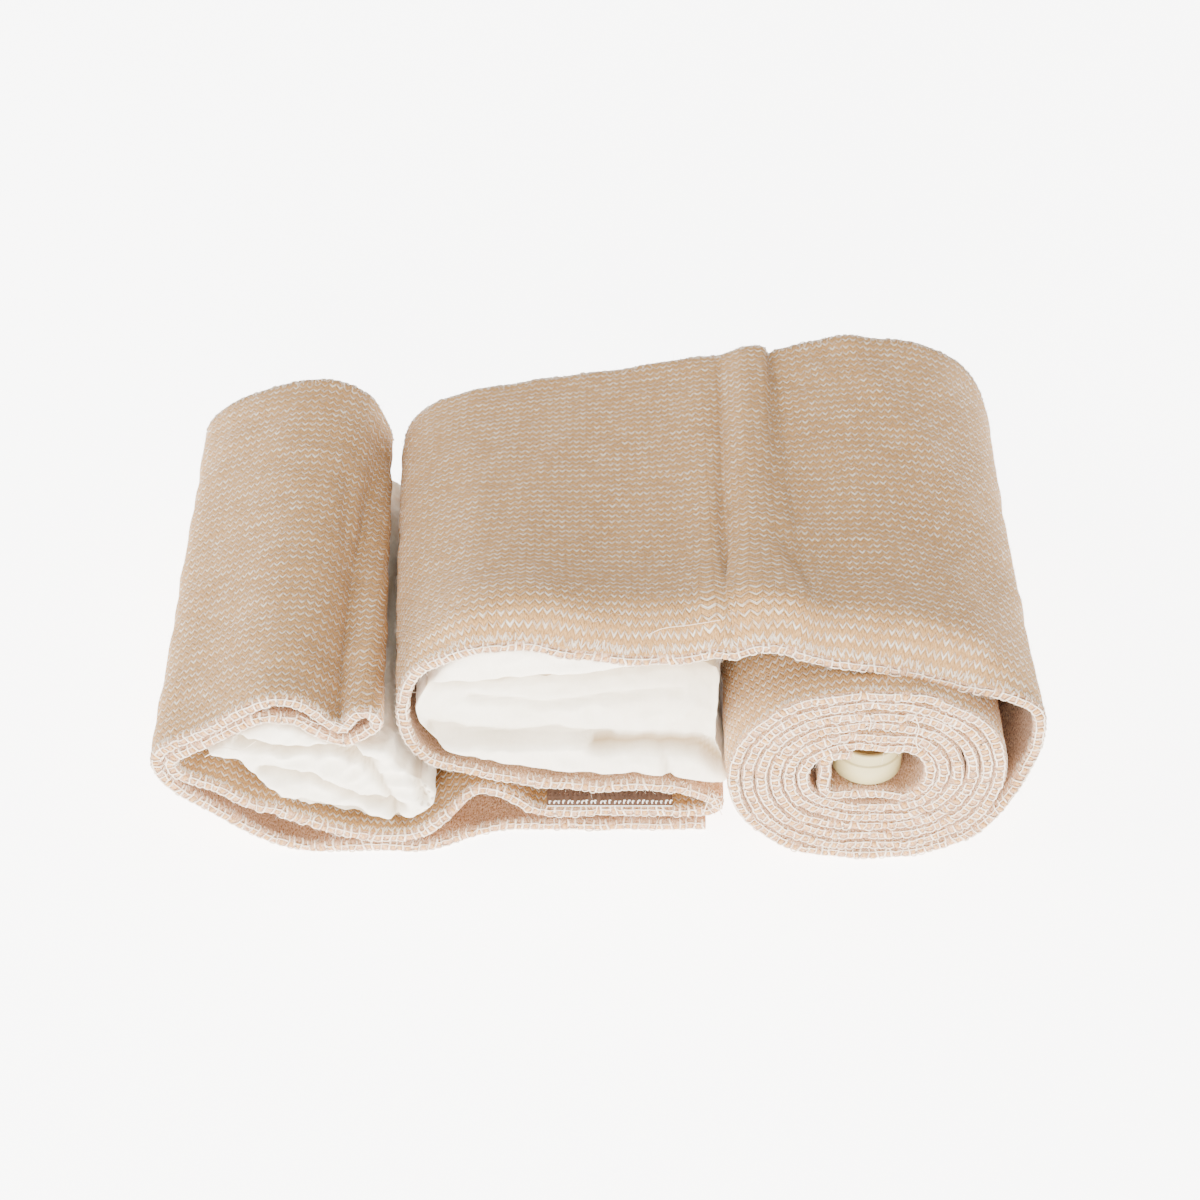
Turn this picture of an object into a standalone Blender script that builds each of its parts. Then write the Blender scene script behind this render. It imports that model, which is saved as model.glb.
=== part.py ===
"""Folded emergency trauma bandage: one elastic knit strip, laid in a left fold and a middle fold
and then rolled up, with two wadding pads, a strip of hook tape and a plastic closure bar.

Metres, +Z up, resting on z = 0, +X along the row of folds, the viewer's side at -Y.
The strip is one centre line per cross-section: the floor run and the left fold come from tables,
the run inside it is an offset of the first, and the roll is a spiral wound on the closure bar.
"""
import math

import bpy

# knitted cloth
CLOTH = 0.0023          # thickness of the elastic knit
GAP = 0.00030           # space kept between two layers that touch
WIDTH = 0.100           # width of the strip
# left fold
LEFT_L = 0.0420         # length of the left fold along X
LEFT_H = 0.0407         # height of the left fold
LOOP_R = 0.0023         # radius of the curled loop at the fold's right side
VALLEY = 0.0016         # space between the left and the middle fold
# middle fold
MID_L = 0.0586          # length of the middle fold along X
MID_H = 0.0522          # height of the middle fold
PAD_GAP = 0.0006        # space kept between a pad and the cloth
# hook tape
TAPE_X = 0.45           # left edge of the tape, share of MID_L
TAPE_L = 0.0240         # length of the tape along X
TAPE_T = 0.0005         # thickness of its backing
HOOK_H = 0.0025         # height of its hooks
HOOKS = 23              # rows of hooks
HOOK_FOOT = 0.44        # share of the hooks' pitch that a row covers at its foot
HOOK_TIP = 0.28         # and at its tip
# roll
ROLL_GAP = 0.0013       # space between the middle pad and the roll
TURNS = 6               # whole turns in the roll
ROLL_LONG = 0.0043      # half the extra length of the oval roll
ROLL_FLAT = 2.2         # how flat the oval's long sides run
ROLL_H = 0.0440         # height that the loose wrap's shares refer to
BAR_L = 0.0940          # length of the closure bar
BAR_W = 0.0133          # width of the closure bar
BAR_T = 0.0071          # thickness of the closure bar
BAR_STEP = 0.0004       # inward step round the bar's wall
BAR_RIM = 0.0012        # width of the rim round the dished top
BAR_DISH = 0.0014       # depth of the dish
BAR_SHELF = 0.14        # height of the step over the bar's middle, share of BAR_T
UNDER_BAR = (0.25, 0.05, -0.15, -0.32)     # points of the end under the bar, shares of BAR_W
# softened ends of the pads
LEFT_SOFT = 0.0008      # inward step at the left pad's ends
MIDDLE_SOFT = 0.0005    # inward step at the middle pad's ends
# resolution
SECTIONS = (0.0, 0.10, 0.32, 0.58, 0.84, 1.0)
ROUND = 24              # points in one turn of the roll

PITCH = CLOTH + GAP
FLOOR_Z = CLOTH / 2
TAPE_ROOM = TAPE_T + HOOK_H + GAP
MID_X = LEFT_L + CLOTH + VALLEY

# left fold from the floor round its left end towards the loop's neck; x share of LEFT_L, height
# share of LEFT_H above the floor layer, room added inside share of LEFT_H
# x front, height front, room front, x back, height back, room back
LEFT_FOLD = (
    (0.652, 0.000, 0.098, 0.652, 0.000, 0.029),
    (0.521, 0.032, 0.113, 0.521, 0.020, 0.037),
    (0.407, 0.096, 0.120, 0.407, 0.064, 0.037),
    (0.300, 0.192, 0.074, 0.295, 0.133, 0.029),
    (0.205, 0.280, 0.064, 0.200, 0.211, 0.025),
    (0.119, 0.354, 0.039, 0.114, 0.295, 0.015),
    (0.043, 0.437, 0.012, 0.043, 0.388, 0.007),
    (0.005, 0.536, 0.002, 0.002, 0.501, 0.002),
    (0.024, 0.619, 0.002, 0.019, 0.604, 0.002),
    (0.095, 0.678, 0.002, 0.083, 0.683, 0.002),
    (0.195, 0.732, 0.002, 0.179, 0.752, 0.002),
    (0.305, 0.806, 0.005, 0.293, 0.811, 0.002),
    (0.414, 0.885, 0.012, 0.412, 0.855, 0.005),
    (0.521, 0.939, 0.034, 0.521, 0.872, 0.010),
    (0.619, 0.943, 0.044, 0.629, 0.870, 0.015),
    (0.702, 0.894, 0.025, 0.729, 0.840, 0.012),
    (0.767, 0.816, 0.012, 0.805, 0.776, 0.007),
)
# the loop's middle: x share of LEFT_L, height share of LEFT_H, degrees its neck points at
LOOP_FRONT = (0.940, 0.815, 42)
LOOP_BACK = (0.835, 0.520, -84)
# the loop's outline from its neck on: ahead along the neck's direction and aside, shares of LOOP_R
LOOP = ((-1.95, 0.70), (-0.35, 0.94), (0.60, 0.80), (1.00, 0.00), (0.60, -0.80), (-0.35, -0.94))
NECK = 1.16             # width of the loop's neck, share of the layers' pitch

TAPE_LIFT = 0.023       # lift of the run that bears the tape, share of MID_H
# run over the floor layer: x share of MID_L, lift front, lift back as shares of MID_H
FLOOR = (
    (-0.214, 0.034, 0.011),
    (-0.138, 0.010, 0.004),
    (-0.062, 0.002, 0.002),
    (0.000, 0.002, 0.002),
    (0.052, 0.027, 0.011),
    (0.099, 0.075, 0.027),
    (0.150, 0.113, 0.038),
    (0.204, 0.138, 0.046),
    (0.258, 0.136, 0.048),
    (0.312, 0.112, 0.046),
    (0.355, 0.080, 0.040),
    (0.388, 0.048, 0.031),
    (0.416, 0.029, 0.025),
    (0.446, TAPE_LIFT, TAPE_LIFT),
    (0.595, TAPE_LIFT, TAPE_LIFT),
    (0.747, TAPE_LIFT, TAPE_LIFT),
    (0.868, TAPE_LIFT, TAPE_LIFT),
    (0.975, TAPE_LIFT, TAPE_LIFT),
)
FREE_END = 0.935        # where the strip begins on the floor, share of MID_L
NARROW_X = 0.15         # where the floor runs step from EDGE_LEFT to EDGE_MID, share of MID_L

# run under the middle pad: x share of MID_L, lift front, lift back shares of MID_H, tape room
LOWER = (
    (0.975, 0.048, 0.048, 0.00),
    (0.885, 0.050, 0.046, 0.65),
    (0.789, 0.044, 0.034, 1.00),
    (0.693, 0.042, 0.027, 1.00),
    (0.595, 0.042, 0.026, 1.00),
    (0.501, 0.050, 0.026, 1.00),
    (0.403, 0.070, 0.036, 1.00),
    (0.310, 0.153, 0.074, 0.00),
    (0.216, 0.190, 0.088, 0.00),
    (0.126, 0.218, 0.100, 0.00),
)
# middle fold: x share of MID_L and height share of MID_H, at the front, the middle and the back
TOP_ROW = 6             # first row whose edges are EDGE_TOP
FLAP_ROW = 14           # first row that lies over the roll
TURN = (
    (0.064, 0.359, 0.035, 0.292, 0.040, 0.195),
    (0.024, 0.422, -0.013, 0.353, -0.018, 0.268),
    (0.002, 0.503, -0.039, 0.430, -0.058, 0.345),
    (0.000, 0.595, -0.040, 0.518, -0.066, 0.430),
    (0.015, 0.691, -0.019, 0.610, -0.042, 0.512),
    (0.052, 0.783, 0.029, 0.691, 0.015, 0.578),
    (0.106, 0.853, 0.096, 0.748, 0.093, 0.629),
    (0.174, 0.903, 0.177, 0.790, 0.184, 0.662),
    (0.261, 0.940, 0.272, 0.819, 0.285, 0.685),
    (0.388, 0.951, 0.393, 0.836, 0.401, 0.708),
    (0.508, 0.924, 0.511, 0.840, 0.514, 0.731),
    (0.629, 0.894, 0.629, 0.840, 0.629, 0.752),
    (0.750, 0.882, 0.750, 0.848, 0.750, 0.777),
    (0.872, 0.894, 0.872, 0.863, 0.872, 0.804),
    (0.970, 0.917, 0.973, 0.886, 0.976, 0.829),
    (1.027, 0.905, 1.034, 0.876, 1.040, 0.836),
    (1.105, 0.940, 1.115, 0.909, 1.125, 0.871),
    (1.179, 0.936, 1.185, 0.901, 1.189, 0.882),
    (1.243, 0.920, 1.236, 0.863, 1.216, 0.840),
)
# loose wrap over the roll: angle from +X, slack at the front, the middle, the back, shares of ROLL_H
WRAP = (
    (104, 0.070, 0.012, 0.004),
    (90, 0.030, 0.010, 0.008),
    (76, 0.004, 0.010, 0.020),
    (62, 0.004, 0.020, 0.050),
    (48, 0.038, 0.048, 0.070),
    (36, 0.100, 0.080, 0.088),
    (25, 0.140, 0.102, 0.098),
    (12, 0.112, 0.098, 0.100),
    (0, 0.082, 0.084, 0.100),
    (-13, 0.050, 0.066, 0.090),
    (-28, 0.018, 0.036, 0.064),
    (-46, 0.006, 0.010, 0.026),
    (-68, 0.000, 0.000, 0.004),
    (-90, 0.000, 0.000, 0.000),
)
# edges of the strip along Y, shares of WIDTH: front, back
EDGE_LEFT = (-0.500, 0.480)
EDGE_MID = (-0.445, 0.455)
EDGE_TOP = (-0.460, 0.460)
EDGE_WRAP = (-0.480, 0.500)
EDGE_ROLL = (-0.520, 0.480)

# outline of the left pad: x share of LEFT_L and height share of LEFT_H, at the front and the back
LEFT_PAD = (
    (0.140, 0.663, 0.152, 0.639),
    (0.224, 0.713, 0.236, 0.703),
    (0.331, 0.767, 0.343, 0.747),
    (0.426, 0.826, 0.450, 0.771),
    (0.533, 0.840, 0.545, 0.776),
    (0.629, 0.826, 0.629, 0.762),
    (0.712, 0.776, 0.688, 0.703),
    (0.795, 0.713, 0.724, 0.614),
    (0.879, 0.686, 0.752, 0.531),
    (0.974, 0.688, 0.783, 0.467),
    (1.045, 0.663, 0.831, 0.432),
    (1.105, 0.600, 0.876, 0.383),
    (1.167, 0.511, 0.924, 0.324),
    (1.219, 0.432, 0.976, 0.275),
    (1.257, 0.359, 1.024, 0.236),
    (1.233, 0.270, 1.048, 0.192),
    (1.164, 0.197, 1.024, 0.157),
    (1.081, 0.152, 0.976, 0.145),
    (0.974, 0.157, 0.914, 0.145),
    (0.867, 0.187, 0.831, 0.152),
    (0.760, 0.221, 0.736, 0.167),
    (0.652, 0.251, 0.640, 0.182),
    (0.557, 0.295, 0.545, 0.211),
    (0.474, 0.381, 0.450, 0.256),
    (0.410, 0.477, 0.355, 0.319),
    (0.348, 0.560, 0.271, 0.393),
    (0.260, 0.595, 0.200, 0.467),
    (0.176, 0.624, 0.152, 0.555),
)
LEFT_SPINE = ((0.26, 0.64, 0.26, 0.55), (0.60, 0.56, 0.55, 0.45), (0.85, 0.44, 0.75, 0.28),
              (1.08, 0.32, 0.92, 0.20))
LEFT_PAD_Y = (-0.490, 0.460)

# outline of the middle pad: x share of MID_L, height as a share of the room between the cloth
# below and the cloth above; the crease runs in from the right and back out
MIDDLE_PAD = (
    (0.030, 0.42), (0.036, 0.58), (0.070, 0.76), (0.120, 0.88), (0.190, 1.00), (0.290, 1.00),
    (0.400, 1.00), (0.510, 1.00), (0.630, 1.00), (0.750, 1.00), (0.870, 1.00), (0.970, 1.00),
    (1.060, 0.99), (1.098, 0.95), (1.060, 0.91), (0.940, 0.905), (0.815, 0.895), (0.690, 0.850),
    (0.560, 0.790), (0.400, 0.720), (0.240, 0.660), (0.140, 0.635),
    (0.140, 0.618), (0.240, 0.640), (0.400, 0.700), (0.560, 0.770), (0.690, 0.830), (0.815, 0.875),
    (0.930, 0.885), (0.990, 0.860), (1.006, 0.790), (1.004, 0.620), (1.000, 0.440), (1.000, 0.330),
    (1.030, 0.240), (1.056, 0.140), (1.060, 0.060), (1.030, 0.020), (0.990, 0.030), (0.940, 0.010),
    (0.860, 0.00), (0.740, 0.00), (0.620, 0.00), (0.500, 0.00), (0.390, 0.00), (0.290, 0.00),
    (0.200, 0.00), (0.120, 0.00), (0.064, 0.12), (0.036, 0.26),
)
MIDDLE_SPINE = ((0.22, 0.42), (0.50, 0.45), (0.80, 0.50), (0.92, 0.45), (0.97, 0.16))
MIDDLE_PAD_Y = (-0.437, 0.447)


def blend(values, v):
    """Value at v from front and back, or from front, middle and back."""
    if len(values) == 2:
        return values[0] + (values[1] - values[0]) * v
    a, b, c = values
    return a + (4 * b - 3 * a - c) * v + (2 * a - 4 * b + 2 * c) * v * v


def spline(rows, steps):
    """Smooth run through the rows, with so many points to a span."""
    out = []
    for k in range(len(rows) - 1):
        a, b = rows[k], rows[k + 1]
        before = rows[k - 1] if k else [2 * p - q for p, q in zip(a, b)]
        after = rows[k + 2] if k + 2 < len(rows) else [2 * q - p for p, q in zip(a, b)]
        for m in range(steps):
            t = m / steps
            out.append([0.5 * (2 * p + (q - o) * t + (2 * o - 5 * p + 4 * q - r) * t * t
                               + (3 * p - o - 3 * q + r) * t ** 3)
                        for o, p, q, r in zip(before, a, b, after)])
    return out + [list(rows[-1])]


def normals(points):
    """Unit vectors to the right of the run, lengthened at bends so that an offset keeps its width."""
    out = []
    for k, p in enumerate(points):
        a, b = points[max(k - 1, 0)], points[min(k + 1, len(points) - 1)]
        dirs = []
        for q, r in ((a, p), (p, b)):
            length = math.hypot(r[0] - q[0], r[1] - q[1])
            if length > 0:
                dirs.append(((r[0] - q[0]) / length, (r[1] - q[1]) / length))
        tx, tz = sum(d[0] for d in dirs), sum(d[1] for d in dirs)
        length = math.hypot(tx, tz)
        tx, tz = tx / length, tz / length
        half = tx * dirs[0][0] + tz * dirs[0][1]
        out.append((tz / max(half, 0.7), -tx / max(half, 0.7)))
    return out


def roll_radius(turned):
    """Radius of the roll after so many degrees from its lowest point."""
    return BAR_ROOM + GAP + CLOTH / 2 + PITCH * (WHOLE_TURNS - turned / 360)


def core_of_roll(angle):
    """How far the roll's stretched core reaches along X at an angle."""
    return ROLL_LONG * math.tanh(ROLL_FLAT * math.cos(angle)) / math.tanh(ROLL_FLAT)


WHOLE_TURNS = max(2, round(TURNS))
# the innermost turn clears the corners of the bar
BAR_ROOM = max((BAR_W / 2 - core_of_roll(a)) * math.cos(a) + BAR_T / 2 * math.sin(a)
               for a in (math.radians(5 * k) for k in range(19)))
ROLL_X = MID_X + MID_L + ROLL_GAP + CLOTH / 2 + roll_radius(90) + ROLL_LONG
ROLL_Z = roll_radius(0) + CLOTH / 2


def roll_point(angle, radius):
    """Point of the oval roll: a stretched core plus a radius."""
    a = math.radians(angle)
    return ROLL_X + core_of_roll(a) + radius * math.cos(a), ROLL_Z + radius * math.sin(a)


def clear_of_roll(x, z):
    """Move a point of the flap out of the roll's outermost turn."""
    core = max(-ROLL_LONG, min(ROLL_LONG, x - ROLL_X))
    dx, dz = x - ROLL_X - core, z - ROLL_Z
    reach, least = math.hypot(dx, dz), roll_radius(180) + PITCH * 1.25
    if reach >= least:
        return x, z
    return ROLL_X + core + dx * least / reach, ROLL_Z + dz * least / reach


def strip_section(v):
    """Centre line of the strip at the share v from its front to its back edge: x, z, front, back."""
    base, rooms = [], []
    for x, front, back in reversed(FLOOR):
        base.append([MID_X + x * MID_L, FLOOR_Z, blend((front, back), v) * MID_H])
    for xf, zf, rf, xb, zb, rb in LEFT_FOLD:
        base.append([blend((xf, xb), v) * LEFT_L, FLOOR_Z + blend((zf, zb), v) * LEFT_H,
                     blend((rf, rb), v) * LEFT_H])
    floor_rows = len(FLOOR)

    dense = spline(base, 2)
    inner = []
    for (x, z, room), (nx, nz) in zip(dense, normals(dense)):
        reach = PITCH + max(room, 0.0)
        inner.append((x + nx * reach, z + nz * reach))

    # floor layer and outside of the left fold
    start = MID_X + FREE_END * MID_L
    path = [[start, FLOOR_Z, *EDGE_MID]]
    for x, z, room in base[:floor_rows]:
        if x < start - GAP:
            edge = EDGE_MID if x > MID_X + NARROW_X * MID_L else EDGE_LEFT
            path.append([x, z, *edge])
    for x, z, room in spline(base[floor_rows:], 2):
        path.append([x, z, *EDGE_LEFT])

    # curled loop: the neck, the round and the layer under the neck
    heading = math.radians(blend((LOOP_FRONT[2], LOOP_BACK[2]), v))
    cx = blend((LOOP_FRONT[0], LOOP_BACK[0]), v) * LEFT_L
    cz = FLOOR_Z + blend((LOOP_FRONT[1], LOOP_BACK[1]), v) * LEFT_H
    loop = [dense[-3][:2], dense[-1][:2]]
    for ahead, aside in LOOP:
        loop.append((cx + LOOP_R * (ahead * math.cos(heading) - aside * math.sin(heading)),
                     cz + LOOP_R * (ahead * math.sin(heading) + aside * math.cos(heading))))
    (ax, az), (bx, bz) = loop[1:3]
    drop = math.hypot(bx - ax, bz - az)
    tx, tz = (bx - ax) / drop + math.cos(heading), (bz - az) / drop + math.sin(heading)
    reach = NECK * PITCH / math.hypot(tx, tz)
    loop += [(bx + tz * reach, bz - tx * reach), inner[-1], inner[-3]]
    for x, z in spline(loop, 2)[3:-3]:
        path.append([x, z, *EDGE_LEFT])

    # inside of the left fold and the run over the floor layer
    for x, z in reversed(inner):
        edge = EDGE_MID if x > MID_X + NARROW_X * MID_L else EDGE_LEFT
        path.append([x, z, *edge])

    # turn at the right end, run under the middle pad, middle fold and flap
    rest = []
    for x, front, back, tape in LOWER:
        z = FLOOR_Z + 2 * PITCH + blend((front, back), v) * MID_H + TAPE_ROOM * tape
        rest.append([MID_X + x * MID_L, z, *EDGE_MID])
    last = path[-1]
    radius = (rest[0][1] - last[1]) / 2
    for a in (-60, -30, 0, 30, 60):
        a = math.radians(a)
        path.append([last[0] + radius * math.cos(a), last[1] + radius + radius * math.sin(a), *EDGE_MID])
    for k, (xf, zf, xm, zm, xb, zb) in enumerate(TURN):
        x = MID_X + blend((xf, xm, xb), v) * MID_L
        z = FLOOR_Z + blend((zf, zm, zb), v) * MID_H
        if k >= FLAP_ROW:
            x, z = clear_of_roll(x, z)
        rest.append([x, z, *(EDGE_MID if k < TOP_ROW else EDGE_TOP)])
    for angle, front, middle, back in WRAP:
        slack = max(blend((front, middle, back), v), 0.0) * ROLL_H
        x, z = roll_point(angle, roll_radius(-90 - angle) + slack)
        rest.append([x, z, *(EDGE_WRAP if angle > -20 else EDGE_ROLL)])
    path += spline(rest, 2)

    # roll, wound inwards from its lowest point, and the end lying flat under the bar
    for k in range(1, WHOLE_TURNS * ROUND - ROUND // 12 + 1):
        turned = 360 * k / ROUND
        x, z = roll_point(-90 - turned, roll_radius(turned))
        path.append([x, z, *EDGE_ROLL])
    for share in UNDER_BAR:
        path.append([ROLL_X + BAR_W * share, ROLL_Z - BAR_T / 2 - GAP - CLOTH / 2, *EDGE_ROLL])

    # the strip's edges wander gently from one run to the next
    for column in (2, 3):
        for _ in range(4):
            values = [p[column] for p in path]
            for k in range(1, len(path) - 1):
                path[k][column] = (values[k - 1] + 2 * values[k] + values[k + 1]) / 4
    return path


def solid(name, verts, faces, colour, roughness):
    """New object with its own material."""
    mesh = bpy.data.meshes.new(name)
    mesh.from_pydata(verts, [], faces)
    mesh.validate()
    material = bpy.data.materials.new(name)
    material.use_nodes = True
    shader = material.node_tree.nodes["Principled BSDF"]
    shader.inputs["Base Color"].default_value = (*colour, 1.0)
    shader.inputs["Roughness"].default_value = roughness
    mesh.materials.append(material)
    obj = bpy.data.objects.new(name, mesh)
    bpy.context.scene.collection.objects.link(obj)
    return obj


def loft(rings):
    """Closed skin over rings of equal length, clockwise from the first one's side, capped flat."""
    count = len(rings[0])
    verts = [p for ring in rings for p in ring]
    faces = [tuple(reversed(range(count))), tuple(range(len(verts) - count, len(verts)))]
    for r in range(len(rings) - 1):
        for k in range(count):
            a, b = r * count + k, r * count + (k + 1) % count
            faces.append((a, b, b + count, a + count))
    return verts, faces


def strip_mesh(paths):
    """Strip with its thickness, from one centre line per section."""
    rows, across = len(paths[0]), len(paths)
    verts, faces = [], []
    offsets = [normals(path) for path in paths]
    for i in range(rows):
        for j, v in enumerate(SECTIONS):
            x, z, front, back = paths[j][i]
            nx, nz = offsets[j][i]
            y = (front + (back - front) * v) * WIDTH
            verts.append((x + nx * CLOTH / 2, y, z + nz * CLOTH / 2))
            verts.append((x - nx * CLOTH / 2, y, z - nz * CLOTH / 2))

    def at(i, j, side):
        return (i * across + j) * 2 + side

    for i in range(rows - 1):
        for j in range(across - 1):
            faces.append((at(i, j, 0), at(i, j + 1, 0), at(i + 1, j + 1, 0), at(i + 1, j, 0)))
            faces.append((at(i, j, 1), at(i + 1, j, 1), at(i + 1, j + 1, 1), at(i, j + 1, 1)))
        faces.append((at(i, 0, 0), at(i + 1, 0, 0), at(i + 1, 0, 1), at(i, 0, 1)))
        j = across - 1
        faces.append((at(i, j, 0), at(i, j, 1), at(i + 1, j, 1), at(i + 1, j, 0)))
    for j in range(across - 1):
        faces.append((at(0, j, 0), at(0, j, 1), at(0, j + 1, 1), at(0, j + 1, 0)))
        i = rows - 1
        faces.append((at(i, j, 0), at(i, j + 1, 0), at(i, j + 1, 1), at(i, j, 1)))
    return verts, faces


def nearest(point, run):
    """Closest point on a run of points and its distance."""
    best = (1.0, point)
    for (ax, az), (bx, bz) in zip(run, run[1:]):
        dx, dz = bx - ax, bz - az
        along = ((point[0] - ax) * dx + (point[1] - az) * dz) / max(dx * dx + dz * dz, 1e-12)
        along = max(0.0, min(1.0, along))
        foot = (ax + dx * along, az + dz * along)
        reach = math.hypot(point[0] - foot[0], point[1] - foot[1])
        if reach < best[0]:
            best = (reach, foot)
    return best


def settle(ring, spine, run):
    """Draw the points of an outline in towards its spine until they are clear of the cloth."""
    out = []
    for point in ring:
        foot = nearest(point, spine)[1]
        share = 1.0
        moved = point
        while nearest(moved, run)[0] < CLOTH / 2 + PAD_GAP and share > 0.1:
            share -= 0.02
            moved = (foot[0] + (point[0] - foot[0]) * share, foot[1] + (point[1] - foot[1]) * share)
        out.append(moved)
    return out


def at_share(paths, v):
    """Centre line between two of the strip's sections."""
    for j in range(len(SECTIONS) - 1):
        if v <= SECTIONS[j + 1] or j == len(SECTIONS) - 2:
            t = (v - SECTIONS[j]) / (SECTIONS[j + 1] - SECTIONS[j])
            return [(a[0] + (b[0] - a[0]) * t, a[1] + (b[1] - a[1]) * t)
                    for a, b in zip(paths[j], paths[j + 1])]


def inset(ring, depth):
    """Outline drawn in by a depth."""
    closed = [ring[-1], *ring, ring[0]]
    out = []
    for k in range(1, len(closed) - 1):
        (ax, az), (px, pz), (bx, bz) = closed[k - 1], closed[k], closed[k + 1]
        tx, tz = bx - ax, bz - az
        length = math.hypot(tx, tz)
        out.append((px + tz / length * depth, pz - tx / length * depth))
    return out


def pad_rings(paths, edges, outline, soften):
    """Rings of a pad from its front to its back, softened at both ends."""
    rings = []
    for v in SECTIONS:
        run = at_share(paths, v)
        ring = outline(v, run)
        y = (edges[0] + (edges[1] - edges[0]) * v) * WIDTH
        if v in (0.0, 1.0):
            ring = inset(ring, soften)
        rings.append([(x, y, z) for x, z in ring])
    return rings


def left_outline(v, run):
    ring = [(blend((a, c), v) * LEFT_L, blend((b, d), v) * LEFT_H) for a, b, c, d in LEFT_PAD]
    spine = [(blend((a, c), v) * LEFT_L, blend((b, d), v) * LEFT_H) for a, b, c, d in LEFT_SPINE]
    return settle(ring, spine, run)


def height_at(run, x):
    """Height of a run of points at x; the run's x only rises or only falls."""
    for (ax, az), (bx, bz) in zip(run, run[1:]):
        if min(ax, bx) <= x <= max(ax, bx):
            return az + (bz - az) * (x - ax) / (bx - ax) if bx != ax else az
    return run[0][1] if abs(x - run[0][0]) < abs(x - run[-1][0]) else run[-1][1]


def middle_outline(v, run):
    """Outline in the room between the run under the pad and the flap over it."""
    wrap_rows = 2 * (len(WRAP) - 1) + 1
    lower_rows = 2 * len(LOWER)
    turn_rows = 2 * len(TURN)
    wound = WHOLE_TURNS * ROUND - ROUND // 12 + len(UNDER_BAR)
    first = len(run) - wound - wrap_rows - turn_rows - lower_rows
    part = run[first:first + lower_rows + turn_rows + 4]
    west = min(range(len(part)), key=lambda k: part[k][0])
    below, above = part[:west + 1], part[west:]

    def place(a, h):
        x = MID_X + a * MID_L
        low = height_at(below, min(x, below[0][0])) + CLOTH / 2 + PAD_GAP
        high = height_at(above, x) - CLOTH / 2 - PAD_GAP
        return x, low + (high - low) * h

    return settle([place(a, h) for a, h in MIDDLE_PAD], [place(a, h) for a, h in MIDDLE_SPINE], run)


def hook_tape():
    """Tape with rows of hooks across the strip, lying on the run over the floor layer."""
    left = MID_X + TAPE_X * MID_L
    floor = FLOOR_Z + PITCH + TAPE_LIFT * MID_H + CLOTH / 2 + GAP
    face, tip = floor + TAPE_T, floor + TAPE_T + HOOK_H
    hooks = max(1, round(HOOKS))
    pitch = TAPE_L / hooks
    foot_w, tip_w = pitch * HOOK_FOOT / 2, pitch * HOOK_TIP / 2
    ring = [(left, floor), (left, face)]
    for k in range(hooks):
        x = left + pitch * (k + 0.5)
        ring += [(x - foot_w, face), (x - tip_w, tip), (x + tip_w, tip), (x + foot_w, face)]
    ring += [(left + TAPE_L, face), (left + TAPE_L, floor)]
    return loft([[(x, y * WIDTH, z) for x, z in ring] for y in EDGE_MID])


def closure_bar():
    """Plastic bar with rounded ends, a stepped wall and a dished top."""
    cx, cz = ROLL_X, ROLL_Z
    half, straight = BAR_W / 2, BAR_L / 2 - BAR_W / 2
    shelf, top = BAR_T * BAR_SHELF, BAR_T / 2
    layers = ((0.0, -top), (0.0, shelf - BAR_STEP / 2), (BAR_STEP, shelf + BAR_STEP / 2), (BAR_STEP, top),
              (BAR_STEP + BAR_RIM, top), (BAR_STEP + BAR_RIM + BAR_DISH / 2, top - BAR_DISH))
    rings = []
    for step, z in layers:
        ring = []
        for k in range(24):
            a = math.radians(360 * (k + 0.5) / 24)
            y = math.copysign(straight, math.sin(a)) + (half - step) * math.sin(a)
            ring.append((cx + (half - step) * math.cos(a), (EDGE_ROLL[0] + EDGE_ROLL[1]) / 2 * WIDTH + y,
                         cz + z))
        rings.append(ring)
    return loft(rings)


for old in list(bpy.data.objects):
    bpy.data.objects.remove(old, do_unlink=True)

PATHS = [strip_section(v) for v in SECTIONS]
SOLIDS = {
    "elastic_bandage": (strip_mesh(PATHS), (0.74, 0.55, 0.38), 0.95),
    "left_pad": (loft(pad_rings(PATHS, LEFT_PAD_Y, left_outline, LEFT_SOFT)), (0.94, 0.92, 0.86), 0.95),
    "middle_pad": (loft(pad_rings(PATHS, MIDDLE_PAD_Y, middle_outline, MIDDLE_SOFT)), (0.95, 0.93, 0.87),
                   0.95),
    "hook_tape": (hook_tape(), (0.93, 0.93, 0.90), 0.6),
    "closure_bar": (closure_bar(), (0.70, 0.66, 0.50), 0.4),
}
EVERY = [p for (verts, faces), colour, rough in SOLIDS.values() for p in verts]
SHIFT = [(min(p[k] for p in EVERY) + max(p[k] for p in EVERY)) / 2 for k in range(2)]
for NAME, ((VERTS, FACES), COLOUR, ROUGH) in SOLIDS.items():
    solid(NAME, [(x - SHIFT[0], y - SHIFT[1], z) for x, y, z in VERTS], FACES, COLOUR, ROUGH)
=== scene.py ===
"""Looks of the folded emergency trauma bandage: knit strip, selvedges, pads, hook tape, closure bar.

Metres, +Z up, in the row frame. The strip's centre lines repeat the part's construction from the
same named sizes, sampled more finely, so that every piece sits where its solid does. The larger
differences: the free end lies 2 mm further right, the inner end runs on round the bar's left side,
the top has a crest behind its front edge, and the bar reaches 2.6 mm further forward.
"""
import math

import bpy
import numpy as np
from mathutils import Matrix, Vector, noise


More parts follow.
